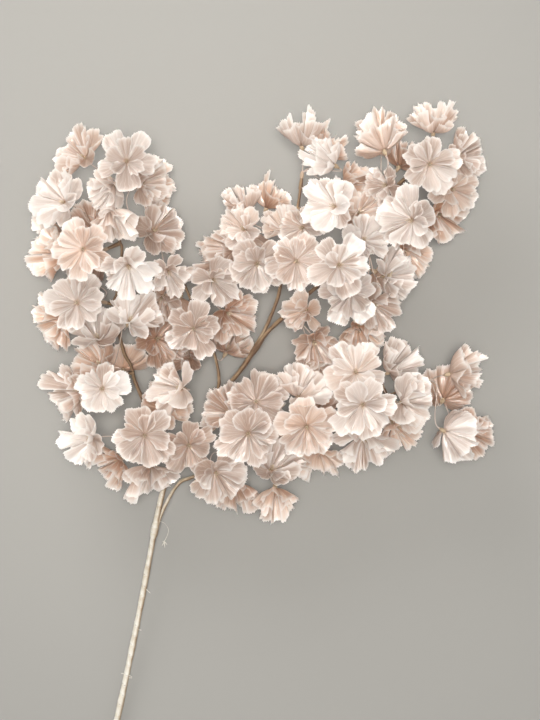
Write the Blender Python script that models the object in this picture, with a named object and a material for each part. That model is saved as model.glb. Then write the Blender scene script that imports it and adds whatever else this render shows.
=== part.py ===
"""Apple blossom branch: an artificial spray of fabric blooms, lying on a table.

Metres, +Z up. +Y runs from the cut end of the stem to the blooms, and +X is to the
right as the spray is seen from above. Lengths below are in millimetres until a mesh is
made. The layout is drawn on a sheet whose zero lies near the middle of the spray, and
the whole branch is moved at the end, so that its origin is under the middle of its box.
"""

import math

import bmesh
import bpy
import numpy as np
from mathutils import Matrix, Vector

MM = 0.001

# Driving dimensions of a bloom: two whorls of five fabric petals, one in the other
PETALS = 5
INNER_SCALE = 0.78  # radius of the inner whorl beside the outer one
INNER_LIFT = 1.25  # cup of the inner whorl beside the outer one
FABRIC = 0.85  # thickness of a petal, measured along the axis of the bloom
NOTCH = 0.64  # radius of the notch between two petals, beside the tip of a petal
NOTCH_HEIGHT = 0.55  # height of the notch, beside that of a petal's edge
CORNER = 0.55  # place of a petal's corner, from its middle (0) to its notch (1)
CORNER_RADIUS = 1.05  # radius of a petal's corner, beside that of the bloom
RUFFLE = 1.1  # height of the wave along the edge
THROAT_RADIUS = 2.1
WHORL_STEP = 1.5  # height between the whorls at the throat
CALYX_LENGTH = 7.0
CENTRE_HEIGHT = 1.6
BEHIND = 67.0  # a bloom whose place is lower than this has one whorl in this model

# Threads, knots and spurs
THREAD_RADIUS = 0.62
THREAD_RINGS = 4
LEAVE = 0.30  # length of a thread's first handle, beside the distance that it covers
ARRIVE = 0.36  # length of its last handle, likewise
ARRIVE_MOST = 16.0
BOW_MOST = 16.0  # furthest that a thread bows out to keep clear
KNOT_RADIUS = 1.7
KNOT_LENGTH = 5.0
KNOT_MIDDLE = 0.55  # place along the knot where its threads begin
KNOT_SIDES = 3
SPUR_BASE = 1.9
SPUR_TIP = 1.35
SPUR_SIDES = 3
GAP = 0.35  # clearance between pieces that touch
SLAB = 0.05  # thickness of the slab that cuts the resting places flat, in metres

# Colours, as linear red, green and blue
TAPE_COLOUR = (0.45, 0.36, 0.26)
PETAL_COLOUR = (0.86, 0.70, 0.62)

# Stem and twigs
TUBE_STEP = 40.0  # length of one straight stretch of a tube
SIDE_GAP = 0.5  # clearance of a twig that lies along another
BOUND = 18.0  # length over which a twig is bound to the stem

# Rules that keep the bunches apart
CLEAR_BLOOM = 5.4
CLEAR_PETAL = 4.4
CLEAR_THREAD = 2.8
CLEAR_TWIG = 3.8
TABLE = 4.5  # lowest height of a petal that does not carry the spray
NEAR = 14.0  # two blooms are compared where their rims are nearer than this
OWN_SHARE = 0.6  # the clearance inside a bunch, beside that between bunches
BOW_FADE = 0.985  # what is left of a bow after each round
ROUNDS = 260
EASE = np.array([0.22, 0.22, 1.0])  # a bloom gives way upward and downward first
PULL = np.array([0.05, 0.05, 0.01])  # how strongly a bloom is drawn back to its place
SEED = 431

# Each route is (x, y, height, radius) from its root to its tip
MAIN_STEM = [
    (-147, -372, 2.2, 2.9), (-132, -306, 9, 2.8), (-114, -220, 19, 2.6), (-98, -136, 29, 2.5),
    (-91, -108, 33, 2.4), (-83, -88, 37, 2.4), (-57, -53, 46, 2.2), (-43, -30, 50, 2.2),
    (-27, -11, 54, 2.1), (-13, 9, 57, 2.0), (-2, 24, 60, 2.0), (28, 52, 63, 1.8),
    (47, 70, 64, 1.7), (72, 102, 64, 1.6), (95, 134, 62, 1.5), (110, 150, 60, 1.3),
]
TWIG_TOP = [
    (6, 51, 66, 1.6), (10, 68, 68, 1.5), (20, 105, 71, 1.4), (23, 125, 71, 1.3), (26, 146, 70, 1.2),
]
TWIG_MIDDLE = [
    (-44, -13, 56, 1.4), (-50, 12, 58, 1.3), (-64, 43, 60, 1.3), (-76, 71, 60, 1.2),
    (-83, 88, 59, 1.2), (-88, 97, 58, 1.1),
]
TWIG_LEFT = [
    (-94, -62, 42, 1.6), (-105, -43, 47, 1.6), (-116, -19, 51, 1.6), (-120, -4, 53, 1.5),
    (-126, 8, 54, 1.5), (-134, 45, 57, 1.4), (-131, 59, 58, 1.4), (-127, 93, 59, 1.3),
    (-129, 102, 59, 1.3), (-131, 116, 58, 1.2), (-130, 132, 57, 1.1),
]
TWIG_RIGHT = [
    (-80, -108, 36, 1.5), (-66, -101, 39, 1.5), (-30, -87, 46, 1.5), (13, -68, 52, 1.4),
    (60, -47, 56, 1.3), (98, -32, 58, 1.2), (123, -22, 58, 1.1),
]

# Each side twig: its route, and the point of the main stem where it is bound on, by the
# height along the sheet, with the side of the stem that it lies on
TWIGS = {
    "twig_top": (TWIG_TOP, 10.0, 1),
    "twig_middle": (TWIG_MIDDLE, -44.0, 1),
    "twig_left": (TWIG_LEFT, -101.0, 1),
    "twig_right": (TWIG_RIGHT, -150.0, -1),
}

# Each bunch: the twig that carries it, the tip of its spur, and its blooms. A bloom is
# (x, y, height of its throat, lean from straight up, direction of the lean, radius, cup)
BUNCHES = {
    "bunch_left_top": ("twig_left", (-129, 142, 57), [
        (-120, 166, 103, 10, 90, 25, 7), (-158, 172, 78, 40, 135, 24, 10),
        (-110, 150, 66, 55, 20, 21, 12), (-132, 148, 84, 50, 230, 19, 12),
    ]),
    "bunch_left_shoulder": ("twig_left", (-138, 117, 62), [
        (-173, 133, 88, 35, 160, 26, 9), (-134, 125, 100, 60, 290, 19, 12),
        (-151, 112, 76, 20, 90, 21, 9),
    ]),
    "bunch_left_back": ("twig_left", (-139, 96, 55), [
        (-180, 109, 34, 70, 200, 20, 11), (-177, 92, 56, 60, 180, 21, 11),
    ]),
    "bunch_left_upper": ("twig_left", (-126, 78, 64), [
        (-156, 93, 104, 6, 180, 26, 7), (-118, 80, 96, 40, 280, 25, 10),
    ]),
    "bunch_left_mid": ("twig_left", (-140, 49, 63), [
        (-162, 48, 100, 10, 150, 25, 8), (-178, 36, 54, 55, 200, 22, 11),
        (-152, 66, 34, 110, 150, 21, 10),
    ]),
    "bunch_left_waist": ("twig_left", (-128, 30, 63), [
        (-146, 17, 84, 50, 100, 26, 13), (-119, 32, 86, 45, 60, 24, 11),
        (-98, 19, 58, 30, 0, 22, 9), (-145, -5, 34, 50, 140, 20, 10),
    ]),
    "bunch_left_low": ("twig_left", (-124, -12, 58), [
        (-141, -24, 98, 5, 180, 23, 7), (-163, -27, 78, 55, 185, 25, 11),
        (-128, -8, 30, 125, 100, 21, 9),
    ]),
    "bunch_left_inner": ("twig_left", (-103, -29, 55), [
        (-91, -41, 62, 40, 40, 21, 9), (-75, -24, 86, 45, 170, 23, 12),
    ]),
    "bunch_left_foot": ("twig_left", (-110, -58, 52), [
        (-105, -63, 104, 10, 270, 26, 7), (-150, -66, 88, 45, 190, 24, 10),
        (-129, -85, 58, 65, 220, 21, 10),
    ]),
    "bunch_foot": ("main_stem", (-74, -66, 50), [
        (-69, -72, 84, 10, 300, 24, 8), (-102, -90, 76, 60, 265, 24, 11),
    ]),
    "bunch_middle_low": ("twig_middle", (-53, 22, 52), [
        (-70, 3, 52, 40, 110, 21, 10), (-38, 7, 26, 70, 60, 21, 9),
    ]),
    "bunch_middle_mid": ("twig_middle", (-60, 56, 66), [
        (-65, 27, 92, 8, 260, 24, 7), (-49, 68, 88, 30, 320, 24, 9),
        (-38, 41, 62, 45, 330, 21, 10),
    ]),
    "bunch_middle_back": ("twig_middle", (-82, 64, 54), [
        (-78, 54, 38, 105, 250, 20, 9), (-92, 54, 74, 35, 240, 20, 10),
    ]),
    "bunch_middle_top": ("twig_middle", (-91, 105, 57), [
        (-100, 110, 86, 35, 20, 25, 9), (-87, 75, 80, 35, 300, 20, 10),
        (-110, 150, 92, 40, 10, 20, 11),
    ]),
    "bunch_top_end": ("twig_top", (27, 155, 69), [
        (27, 182, 80, 72, 95, 21, 14), (43, 176, 66, 80, 60, 19, 12),
        (54, 165, 92, 62, 150, 20, 13), (65, 151, 70, 55, 10, 18, 11),
    ]),
    "bunch_top_right": ("twig_top", (31, 128, 76), [
        (55, 126, 108, 40, 160, 26, 9), (28, 112, 98, 22, 200, 20, 9),
    ]),
    "bunch_top_left": ("twig_top", (13, 107, 74), [
        (-20, 128, 72, 65, 110, 17, 10), (-3, 131, 58, 75, 70, 16, 11),
        (12, 111, 82, 40, 120, 17, 10), (-21, 110, 84, 30, 150, 19, 9),
    ]),
    "bunch_top_low": ("twig_top", (5, 72, 75), [
        (22, 83, 104, 8, 300, 25, 7), (-11, 82, 96, 18, 270, 24, 8),
        (-30, 96, 62, 50, 170, 18, 10), (-43, 88, 44, 75, 175, 18, 10),
        (4, 92, 38, 110, 200, 20, 9),
    ]),
    "bunch_fork": ("main_stem", (22, 36, 60), [
        (31, 42, 68, 30, 200, 18, 9), (37, 17, 62, 40, 290, 20, 10),
        (32, -2, 50, 60, 270, 20, 11),
    ]),
    "bunch_right_low": ("main_stem", (49, 63, 72), [
        (57, 81, 106, 12, 0, 26, 7), (68, 57, 98, 18, 220, 28, 8),
        (76, 29, 66, 50, 290, 20, 11),
    ]),
    "bunch_right_mid": ("main_stem", (79, 95, 67), [
        (78, 100, 96, 25, 40, 21, 9), (98, 71, 82, 48, 10, 23, 10),
        (87, 48, 72, 38, 320, 23, 10), (92, 76, 32, 110, 330, 21, 9),
    ]),
    "bunch_right_back": ("main_stem", (79, 127, 56), [
        (84, 126, 28, 130, 100, 21, 9), (75, 125, 80, 28, 40, 24, 9),
    ]),
    "bunch_right_high": ("main_stem", (98, 146, 68), [
        (96, 176, 96, 125, 110, 22, 12), (95, 186, 68, 50, 95, 21, 11),
        (99, 148, 84, 30, 190, 18, 9),
    ]),
    "bunch_right_end": ("main_stem", (118, 158, 60), [
        (134, 165, 102, 12, 300, 25, 7), (139, 194, 78, 62, 85, 21, 11),
        (159, 172, 78, 50, 20, 21, 10), (155, 146, 70, 22, 330, 23, 9),
    ]),
    "bunch_right_under": ("main_stem", (114, 140, 54), [
        (143, 127, 50, 55, 320, 20, 10), (112, 168, 32, 110, 60, 21, 9),
    ]),
    "bunch_right_front": ("main_stem", (98, 124, 68), [
        (119, 117, 104, 32, 190, 27, 8), (114, 95, 62, 50, 300, 19, 10),
    ]),
    "bunch_lower_first": ("twig_right", (-42, -84, 51), [
        (-46, -94, 96, 35, 310, 26, 9), (-30, -107, 62, 65, 275, 20, 11),
        (-18, -61, 96, 18, 270, 26, 8),
    ]),
    "bunch_lower_second": ("twig_right", (-12, -70, 56), [
        (-12, -36, 86, 18, 80, 26, 8), (-34, -46, 58, 45, 150, 21, 10),
        (-8, -52, 28, 120, 90, 20, 9),
    ]),
    "bunch_lower_third": ("twig_right", (8, -78, 57), [
        (0, -93, 90, 42, 60, 25, 12), (4, -110, 62, 65, 270, 17, 12),
    ]),
    "bunch_lower_fourth": ("twig_right", (28, -54, 61), [
        (31, -55, 102, 18, 275, 26, 8), (24, -31, 82, 55, 60, 26, 13),
        (41, -78, 68, 68, 270, 24, 11), (40, -44, 30, 120, 80, 20, 9),
        (11, -66, 70, 20, 90, 19, 9),
    ]),
    "bunch_lower_fifth": ("twig_right", (66, -38, 64), [
        (72, -11, 110, 18, 90, 27, 8), (77, -37, 116, 16, 270, 28, 8),
        (79, -64, 84, 52, 275, 28, 11),
    ]),
    "bunch_lower_sixth": ("twig_right", (97, -24, 63), [
        (102, -10, 86, 55, 30, 24, 11), (112, -36, 96, 42, 0, 25, 10),
        (107, -55, 66, 48, 320, 20, 10), (92, -36, 30, 120, 270, 21, 9),
    ]),
    "bunch_lower_end": ("twig_right", (132, -19, 58), [
        (154, -12, 70, 78, 10, 22, 12), (147, -60, 84, 125, 330, 23, 12),
        (165, -61, 66, 38, 330, 22, 10), (149, -34, 52, 130, 60, 20, 10),
    ]),
}

# The blooms that carry the spray on the table, with the cut end of the stem
RESTING = (("bunch_left_mid", 2), ("bunch_right_back", 0))
REST_DEPTH = 0.6  # how far a resting petal is cut flat


def unit(v):
    """Vectors along the last axis, each divided by its own length."""
    v = np.asarray(v, float)
    return v / np.linalg.norm(v, axis=-1, keepdims=True)


def smooth_route(points, step):
    """A Catmull-Rom curve through (x, y, z, radius) points, read about every step."""
    p = np.asarray(points, float)
    p = np.vstack([2 * p[0] - p[1], p, 2 * p[-1] - p[-2]])
    pieces = []
    for a, b, c, d in zip(p, p[1:], p[2:], p[3:]):
        count = max(1, round(float(np.linalg.norm(c[:3] - b[:3])) / step))
        t = np.linspace(0, 1, count, endpoint=False)[:, None]
        squared = (2 * a - 5 * b + 4 * c - d) * t**2
        cubed = (3 * b - a - 3 * c + d) * t**3
        pieces.append(0.5 * (2 * b + (c - a) * t + squared + cubed))
    return np.vstack(pieces + [p[-2:-1]])


def bound_route(stem, route, at, side):
    """A twig's route with two points added at its root, where it lies along the stem."""
    start = int(np.argmin(np.abs(stem[:, 1] - at)))
    run = np.linalg.norm(stem[:, :3] - stem[start, :3], axis=1)
    end = start + int(np.argmin(np.abs(run[start:] - BOUND)))
    radius = route[0][3]
    rows = []
    for k in (start, end):
        along = unit(stem[k + 1, :3] - stem[k - 1, :3])
        out = unit(np.cross((0, 0, 1), along)) * side
        rows.append([*(stem[k, :3] + out * (stem[k, 3] + radius + SIDE_GAP)), radius])
    return rows + [list(p) for p in route]


def bloom_frame(lean, toward):
    """Rows: two directions across the bloom, and the one that it faces."""
    lean = math.radians(lean)
    toward = math.radians(toward)
    level = math.sin(lean)
    face = np.array([level * math.cos(toward), level * math.sin(toward), math.cos(lean)])
    across = unit(np.array([-math.sin(toward), math.cos(toward), 0.0]))
    return np.array([across, np.cross(face, across), face])


def bloom_character(index):
    """What differs from bloom to bloom: its turn, and how far each petal lifts."""
    rng = np.random.default_rng(SEED + index)
    turn = rng.uniform(0, 2 * math.pi)
    lift = rng.uniform(-1.6, 1.8, (2, PETALS))
    sway = rng.uniform(-0.07, 0.07, (2, PETALS))
    return turn, lift, sway


def collect_blooms():
    """Every bloom in the order of the bunches, as one dictionary of arrays."""
    rows = []
    bunch = []
    for number, (_, _, blooms) in enumerate(BUNCHES.values()):
        rows += blooms
        bunch += [number] * len(blooms)
    rows = np.array(rows, float)
    frames = np.array([bloom_frame(r[3], r[4]) for r in rows])
    return {"home": rows[:, :3].copy(), "place": rows[:, :3].copy(), "frame": frames,
            "radius": rows[:, 5], "cup": rows[:, 6], "bunch": np.array(bunch)}


def bloom_feelers(blooms):
    """Points spread over each bloom's petals and calyx, relative to its throat: along the
    edges of both whorls, and on rings shrunk from those edges towards the throat."""
    whorls = ((0, 1.0, 1.0, (1.0, 0.72, 0.42)), (1, INNER_SCALE, INNER_LIFT, (1.0, 0.66)))
    every = []
    for index in range(len(blooms["place"])):
        turn, lift, sway = bloom_character(index)
        parts = [np.array([[0, 0, -CALYX_LENGTH * 0.6], [0, 0, 2.5]])]
        for whorl, size, height, rows in whorls:
            base = whorl * (FABRIC + WHORL_STEP) + FABRIC / 2
            cup = blooms["cup"][index] * height
            angle, out, up = whorl_edge(blooms["radius"][index] * size, cup, lift[whorl], sway[whorl])
            angle = angle + turn + whorl * math.pi / PETALS
            edge = np.stack([out * np.cos(angle), out * np.sin(angle), up], axis=1)
            tips = (edge[1::3] + edge[2::3]) / 2
            for share in rows:
                row = np.vstack([edge, tips]) if share > 0.5 else tips
                parts.append(row * share + (0, 0, base))
        every.append(np.vstack(parts))
    return np.einsum("nki,nij->nkj", np.array(every), blooms["frame"])


def thread_paths(knots, spurs, blooms, bow, count):
    """Cubic curves from each bloom's knot to its calyx: it leaves along the spur and
    arrives along the bloom's axis, and bow moves its two middle control points."""
    face = blooms["frame"][:, 2]
    a = knots[blooms["bunch"]]
    d = blooms["place"] - face * CALYX_LENGTH
    reach = np.linalg.norm(d - a, axis=1)[:, None]
    b = a + spurs[blooms["bunch"]] * reach * LEAVE + bow
    c = d - face * np.minimum(reach * ARRIVE, ARRIVE_MOST) + bow
    t = np.linspace(0, 1, count)[None, :, None]
    a, b, c, d = (v[:, None, :] for v in (a, b, c, d))
    return a * (1 - t) ** 3 + b * 3 * t * (1 - t) ** 2 + c * 3 * t**2 * (1 - t) + d * t**3


def square_gaps(a, b):
    """Squared distances from every point of a to every point of b, over their last axes."""
    return (a**2).sum(-1)[..., :, None] + (b**2).sum(-1)[..., None, :] - 2 * a @ np.swapaxes(b, -1, -2)


def nearest(points, cloud, allowed, clearance):
    """For each row of points: how much its closest approach to the cloud lacks of the
    clearance, the direction away from there, and which point of the cloud it is."""
    gaps = square_gaps(points.reshape(-1, 3), cloud).reshape(*points.shape[:2], -1)
    gaps = np.where(allowed[:, None, :], gaps, 1e6).reshape(len(points), -1)
    best = gaps.argmin(1)
    row, col = np.unravel_index(best, (points.shape[1], len(cloud)))
    off = points[np.arange(len(points)), row] - cloud[col]
    far = np.linalg.norm(off, axis=1, keepdims=True)
    wanted = clearance[col] if np.ndim(clearance) else clearance
    return np.clip(wanted - far[:, 0], 0, None)[:, None], off / (far + 1e-9), col


def push_apart(blooms, knots, spurs, twig_points):
    """Moves blooms and threads of different bunches until they clear each other, the
    twigs and the table, while a weak pull draws each bloom back to its place. The shares
    that a lack of clearance is multiplied by are step sizes: larger ones make it swing."""
    n = len(blooms["place"])
    feel = bloom_feelers(blooms)
    middle = blooms["frame"][:, 2] * (blooms["cup"] * 0.5)[:, None]
    bow = np.zeros((n, 3))
    first, second = np.triu_indices(n, 1)
    bunch = blooms["bunch"]
    other = bunch[:, None] != bunch[None]
    apart = other[first, second]
    reach = blooms["radius"][first] + blooms["radius"][second] + NEAR
    twig_clear = twig_points[:, 3] + CLEAR_TWIG
    every_twig = np.ones((n, len(twig_points)), bool)
    for turn in range(ROUNDS):
        place = blooms["place"]
        move = np.zeros((n, 3))
        centre = place + middle
        pairs = np.flatnonzero(np.linalg.norm(centre[first] - centre[second], axis=1) < reach)
        i, j = first[pairs], second[pairs]
        points = place[:, None] + feel
        gap = np.sqrt(np.maximum(square_gaps(points[i], points[j]).min((1, 2)), 0))
        wanted = np.where(apart[pairs], CLEAR_BLOOM, CLEAR_BLOOM * OWN_SHARE)
        lack = np.clip(wanted - gap, 0, None)[:, None]
        way = (centre[i] - centre[j]) * (0.35, 0.35, 1.3)
        way = way / (np.linalg.norm(way, axis=1, keepdims=True) + 1e-9)
        np.add.at(move, i, way * lack * 0.5)
        np.add.at(move, j, -way * lack * 0.5)

        if turn % 2:
            threads = thread_paths(knots, spurs, blooms, bow, 12)
            cloud = points.reshape(-1, 3)
            strangers = np.repeat(other, points.shape[1], axis=1)
            lack, away, hit = nearest(threads[:, 2:], cloud, strangers, CLEAR_PETAL)
            bow = bow + away * lack * 0.9
            np.add.at(move, hit // points.shape[1], -away * lack * (0.15, 0.15, 0.5))
            inner = threads[:, 2:-1]
            strangers = np.repeat(other, inner.shape[1], axis=1)
            lack, away, hit = nearest(inner, inner.reshape(-1, 3), strangers, CLEAR_THREAD)
            bow = bow + away * lack * 0.8
            lack, away, hit = nearest(threads[:, 3:], twig_points[:, :3], every_twig, twig_clear - 1.5)
            bow = np.clip((bow + away * lack * 0.8) * BOW_FADE, -BOW_MOST, BOW_MOST)

        lack, away, hit = nearest(points, twig_points[:, :3], every_twig, twig_clear)
        above = np.sign(centre[:, 2] - twig_points[hit, 2])[:, None] * (0, 0, 1.0)
        move += (above + unit((centre - twig_points[hit, :3]) * (1, 1, 0.01)) * 0.3) * lack * 0.7

        move[:, 2] += np.clip(TABLE - points[:, :, 2].min(1), 0, None)
        calm = 1.0 if turn < ROUNDS * 0.6 else 0.5
        blooms["place"] = place + move * EASE * calm + (blooms["home"] - place) * PULL
    return bow


def zip_rings(first, second, angles_a, angles_b):
    """Triangles between two closed rings of vertex numbers, each sorted by angle."""
    m, n = len(first), len(second)
    a = list(angles_a) + [angles_a[0] + 2 * math.pi]
    b = list(angles_b) + [angles_b[0] + 2 * math.pi]
    faces = []
    i = j = 0
    while i < m or j < n:
        if j == n or (i < m and a[i] + a[i + 1] <= b[j] + b[j + 1] + 1e-9):
            faces.append((first[i % m], first[(i + 1) % m], second[j % n]))
            i += 1
        else:
            faces.append((first[i % m], second[(j + 1) % n], second[j % n]))
            j += 1
    return faces


def whorl_edge(radius, cup, lift, sway):
    """Angles, radii and heights of a whorl's edge: a notch, then the petal's two corners."""
    corners = ((-1, NOTCH), (-CORNER, CORNER_RADIUS), (CORNER, CORNER_RADIUS))
    angle, out, up = [], [], []
    for k in range(PETALS):
        for place, reach in corners:
            notch = place == -1
            angle.append((k + place / 2) * 2 * math.pi / PETALS + (0 if notch else sway[k]))
            out.append(radius * reach)
            up.append(NOTCH_HEIGHT * cup if notch else cup + lift[k] + math.copysign(RUFFLE, place))
    return np.array(angle), np.array(out), np.array(up)


def bloom_rings(index, blooms):
    """Rings from the throat to the centre: angles, radii, heights, and whether the ring
    meets the one before it at its notches. The last item is the height of the centre."""
    radius, cup = blooms["radius"][index], blooms["cup"][index]
    turn, lift, sway = bloom_character(index)
    middle = np.arange(PETALS) * 2 * math.pi / PETALS
    flat = np.ones(PETALS)
    angle, out, up = whorl_edge(radius, cup, lift[0], sway[0])
    rings = [
        (middle + turn, THROAT_RADIUS * flat, 0 * flat, False),
        (angle + turn, out, up, False),
        (angle + turn, out, up + FABRIC, True),
        (middle + turn, THROAT_RADIUS * 0.9 * flat, FABRIC * flat, False),
    ]
    if blooms["home"][index, 2] < BEHIND:
        return rings, FABRIC + CENTRE_HEIGHT
    turn += math.pi / PETALS
    angle, out, up = whorl_edge(radius * INNER_SCALE, cup * INNER_LIFT, lift[1], sway[1])
    rings += [
        (angle + turn, out, up + FABRIC + WHORL_STEP, False),
        (angle + turn, out, up + 2 * FABRIC + WHORL_STEP, True),
        (middle + turn, THROAT_RADIUS * 0.8 * flat, (2 * FABRIC + WHORL_STEP) * flat, False),
    ]
    return rings, 2 * FABRIC + WHORL_STEP + CENTRE_HEIGHT


def bloom_mesh(index, blooms, path):
    """One closed loft: thread, calyx, outer whorl, inner whorl and centre."""
    frame, place = blooms["frame"][index], blooms["place"][index]
    rings, centre = bloom_rings(index, blooms)
    verts, numbers, angles = [], [], []
    side = frame[0] * math.cos(rings[0][0][0]) + frame[1] * math.sin(rings[0][0][0])
    third = np.arange(3) * 2 * math.pi / 3
    for k, point in enumerate(path):
        along = frame[2] if k == len(path) - 1 else unit(path[k + 1] - path[max(k - 1, 0)])
        across = unit(side - along * float(side @ along))
        other = np.cross(along, across)
        numbers.append([len(verts) + i for i in range(3)])
        angles.append(third + rings[0][0][0])
        verts += [point + (across * math.cos(t) + other * math.sin(t)) * THREAD_RADIUS for t in third]
    for angle, out, up, meets in rings:
        corners = place + np.stack([out * np.cos(angle), out * np.sin(angle), up], axis=1) @ frame
        number = []
        for i, corner in enumerate(corners):
            if meets and i % 3 == 0:
                number.append(numbers[-1][i])
            else:
                number.append(len(verts))
                verts.append(corner)
        numbers.append(number)
        angles.append(angle)
    faces = [tuple(reversed(numbers[0]))]
    for k in range(len(numbers) - 1):
        few_first = len(numbers[k]) <= len(numbers[k + 1])
        low, high = (k, k + 1) if few_first else (k + 1, k)
        made = zip_rings(numbers[low], numbers[high], angles[low], angles[high])
        faces += [f if few_first else tuple(reversed(f)) for f in made if len(set(f)) == 3]
    tip = len(verts)
    verts.append(place + frame[2] * centre)
    last = numbers[-1]
    faces += [(last[i], last[(i + 1) % len(last)], tip) for i in range(len(last))]
    return np.array(verts), faces


def settle(blooms, paths):
    """Lowers the resting blooms until their lowest petals reach a little under the table."""
    for name, item in RESTING:
        number = list(BUNCHES).index(name)
        index = int(np.flatnonzero(blooms["bunch"] == number)[item])
        corners, _ = bloom_mesh(index, blooms, paths[index])
        blooms["place"][index, 2] -= corners[:, 2].min() + REST_DEPTH


def mesh_object(name, verts, faces, collection):
    """A new object whose mesh has these corners, given in millimetres."""
    mesh = bpy.data.meshes.new(name)
    mesh.from_pydata([tuple(v) for v in np.asarray(verts) * MM], [], faces)
    obj = bpy.data.objects.new(name, mesh)
    collection.objects.link(obj)
    return obj


def prism(name, start, end, r_start, r_end, sides, collection):
    """A tapered prism between two points, closed at both ends."""
    start, end = np.asarray(start, float), np.asarray(end, float)
    along = Vector(end - start)
    bm = bmesh.new()
    bmesh.ops.create_cone(bm, cap_ends=True, cap_tris=True, segments=sides, radius1=r_start * MM,
                          radius2=r_end * MM, depth=along.length * MM)
    turn = along.to_track_quat("Z", "Y").to_matrix().to_4x4()
    turn.translation = Vector((start + end) / 2 * MM)
    bmesh.ops.transform(bm, matrix=turn, verts=bm.verts)
    mesh = bpy.data.meshes.new(name)
    bm.to_mesh(mesh)
    bm.free()
    obj = bpy.data.objects.new(name, mesh)
    collection.objects.link(obj)
    return obj


def tube(name, route, collection):
    """A round tube along a route: a curve with a bevel, made a mesh with welded caps."""
    curve = bpy.data.curves.new(name, "CURVE")
    curve.dimensions = "3D"
    curve.bevel_depth = MM
    curve.bevel_resolution = 1
    curve.use_fill_caps = True
    line = curve.splines.new("POLY")
    line.points.add(len(route) - 1)
    for point, (x, y, z, radius) in zip(line.points, route):
        point.co = (x * MM, y * MM, z * MM, 1.0)
        point.radius = radius
    guide = bpy.data.objects.new(name, curve)
    collection.objects.link(guide)
    seen = guide.evaluated_get(bpy.context.evaluated_depsgraph_get())
    mesh = bpy.data.meshes.new_from_object(seen)
    bpy.data.objects.remove(guide)
    bpy.data.curves.remove(curve)
    bm = bmesh.new()
    bm.from_mesh(mesh)
    bmesh.ops.remove_doubles(bm, verts=bm.verts, dist=1e-6)
    bmesh.ops.recalc_face_normals(bm, faces=bm.faces)
    bm.to_mesh(mesh)
    bm.free()
    mesh.name = name
    obj = bpy.data.objects.new(name, mesh)
    collection.objects.link(obj)
    return obj


def apply_boolean(obj, operation, collection=None, cutter=None, solver="EXACT"):
    """Applies one Boolean, with an object or with all of a collection."""
    step = obj.modifiers.new("step", "BOOLEAN")
    step.operation = operation
    step.solver = solver
    if collection:
        step.operand_type = "COLLECTION"
        step.collection = collection
    else:
        step.object = cutter
    seen = obj.evaluated_get(bpy.context.evaluated_depsgraph_get())
    mesh = bpy.data.meshes.new_from_object(seen)
    obj.modifiers.clear()
    old = obj.data
    obj.data = mesh
    bpy.data.meshes.remove(old)
    mesh.name = obj.name


def fuse(obj, pieces):
    """Joins an object with the objects of a collection, which are then removed, and keeps
    the one outer skin: pockets that the join seals are filled, and scraps dropped. Every
    piece is closed, which is what the quick manifold solver needs."""
    apply_boolean(obj, "UNION", collection=pieces, solver="MANIFOLD")
    for piece in list(pieces.objects):
        mesh = piece.data
        bpy.data.objects.remove(piece)
        bpy.data.meshes.remove(mesh)
    bm = bmesh.new()
    bm.from_mesh(obj.data)
    bmesh.ops.triangulate(bm, faces=bm.faces)
    left = set(bm.faces)
    skins = []
    while left:
        stack = [left.pop()]
        skin = set(stack)
        while stack:
            for edge in stack.pop().edges:
                for face in edge.link_faces:
                    if face in left:
                        left.discard(face)
                        skin.add(face)
                        stack.append(face)
        skins.append(skin)
    skins.sort(key=lambda faces: -sum(f.calc_area() for f in faces))
    spare = [f for skin in skins[1:] for f in skin]
    bmesh.ops.delete(bm, geom=spare, context="FACES")
    bm.to_mesh(obj.data)
    bm.free()


def cut_flat(parts):
    """Cuts the cut end of the stem and the resting petals flat where they meet the table."""
    bpy.ops.mesh.primitive_cube_add(size=1.0, location=(0, 0, -SLAB / 2))
    slab = bpy.context.object
    slab.name = "table_cut"
    slab.scale = (1.0, 1.0, SLAB)
    slab.hide_render = True
    slab.display_type = "WIRE"
    for old in slab.users_collection:
        old.objects.unlink(slab)
    new_collection("cutters").objects.link(slab)
    bpy.context.view_layer.update()
    for name in ("main_stem", *(bunch for bunch, _ in RESTING)):
        apply_boolean(parts.objects[name], "DIFFERENCE", cutter=slab)


def centre_on_origin(parts):
    """Moves every mesh so that the origin is under the middle of the branch's box."""
    corners = np.array([v.co for obj in parts.objects for v in obj.data.vertices])
    middle = (corners.min(0) + corners.max(0)) / 2
    for obj in parts.objects:
        obj.data.transform(Matrix.Translation((-middle[0], -middle[1], 0)))


def paint(obj, name, colour, roughness):
    """A plain material of one colour."""
    material = bpy.data.materials.get(name) or bpy.data.materials.new(name)
    material.use_nodes = True
    shader = material.node_tree.nodes["Principled BSDF"]
    shader.inputs["Base Color"].default_value = (*colour, 1.0)
    shader.inputs["Roughness"].default_value = roughness
    shader.inputs["Metallic"].default_value = 0.0
    obj.data.materials.clear()
    obj.data.materials.append(material)


def new_collection(name):
    """A collection linked to the scene."""
    collection = bpy.data.collections.new(name)
    bpy.context.scene.collection.children.link(collection)
    return collection


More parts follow.
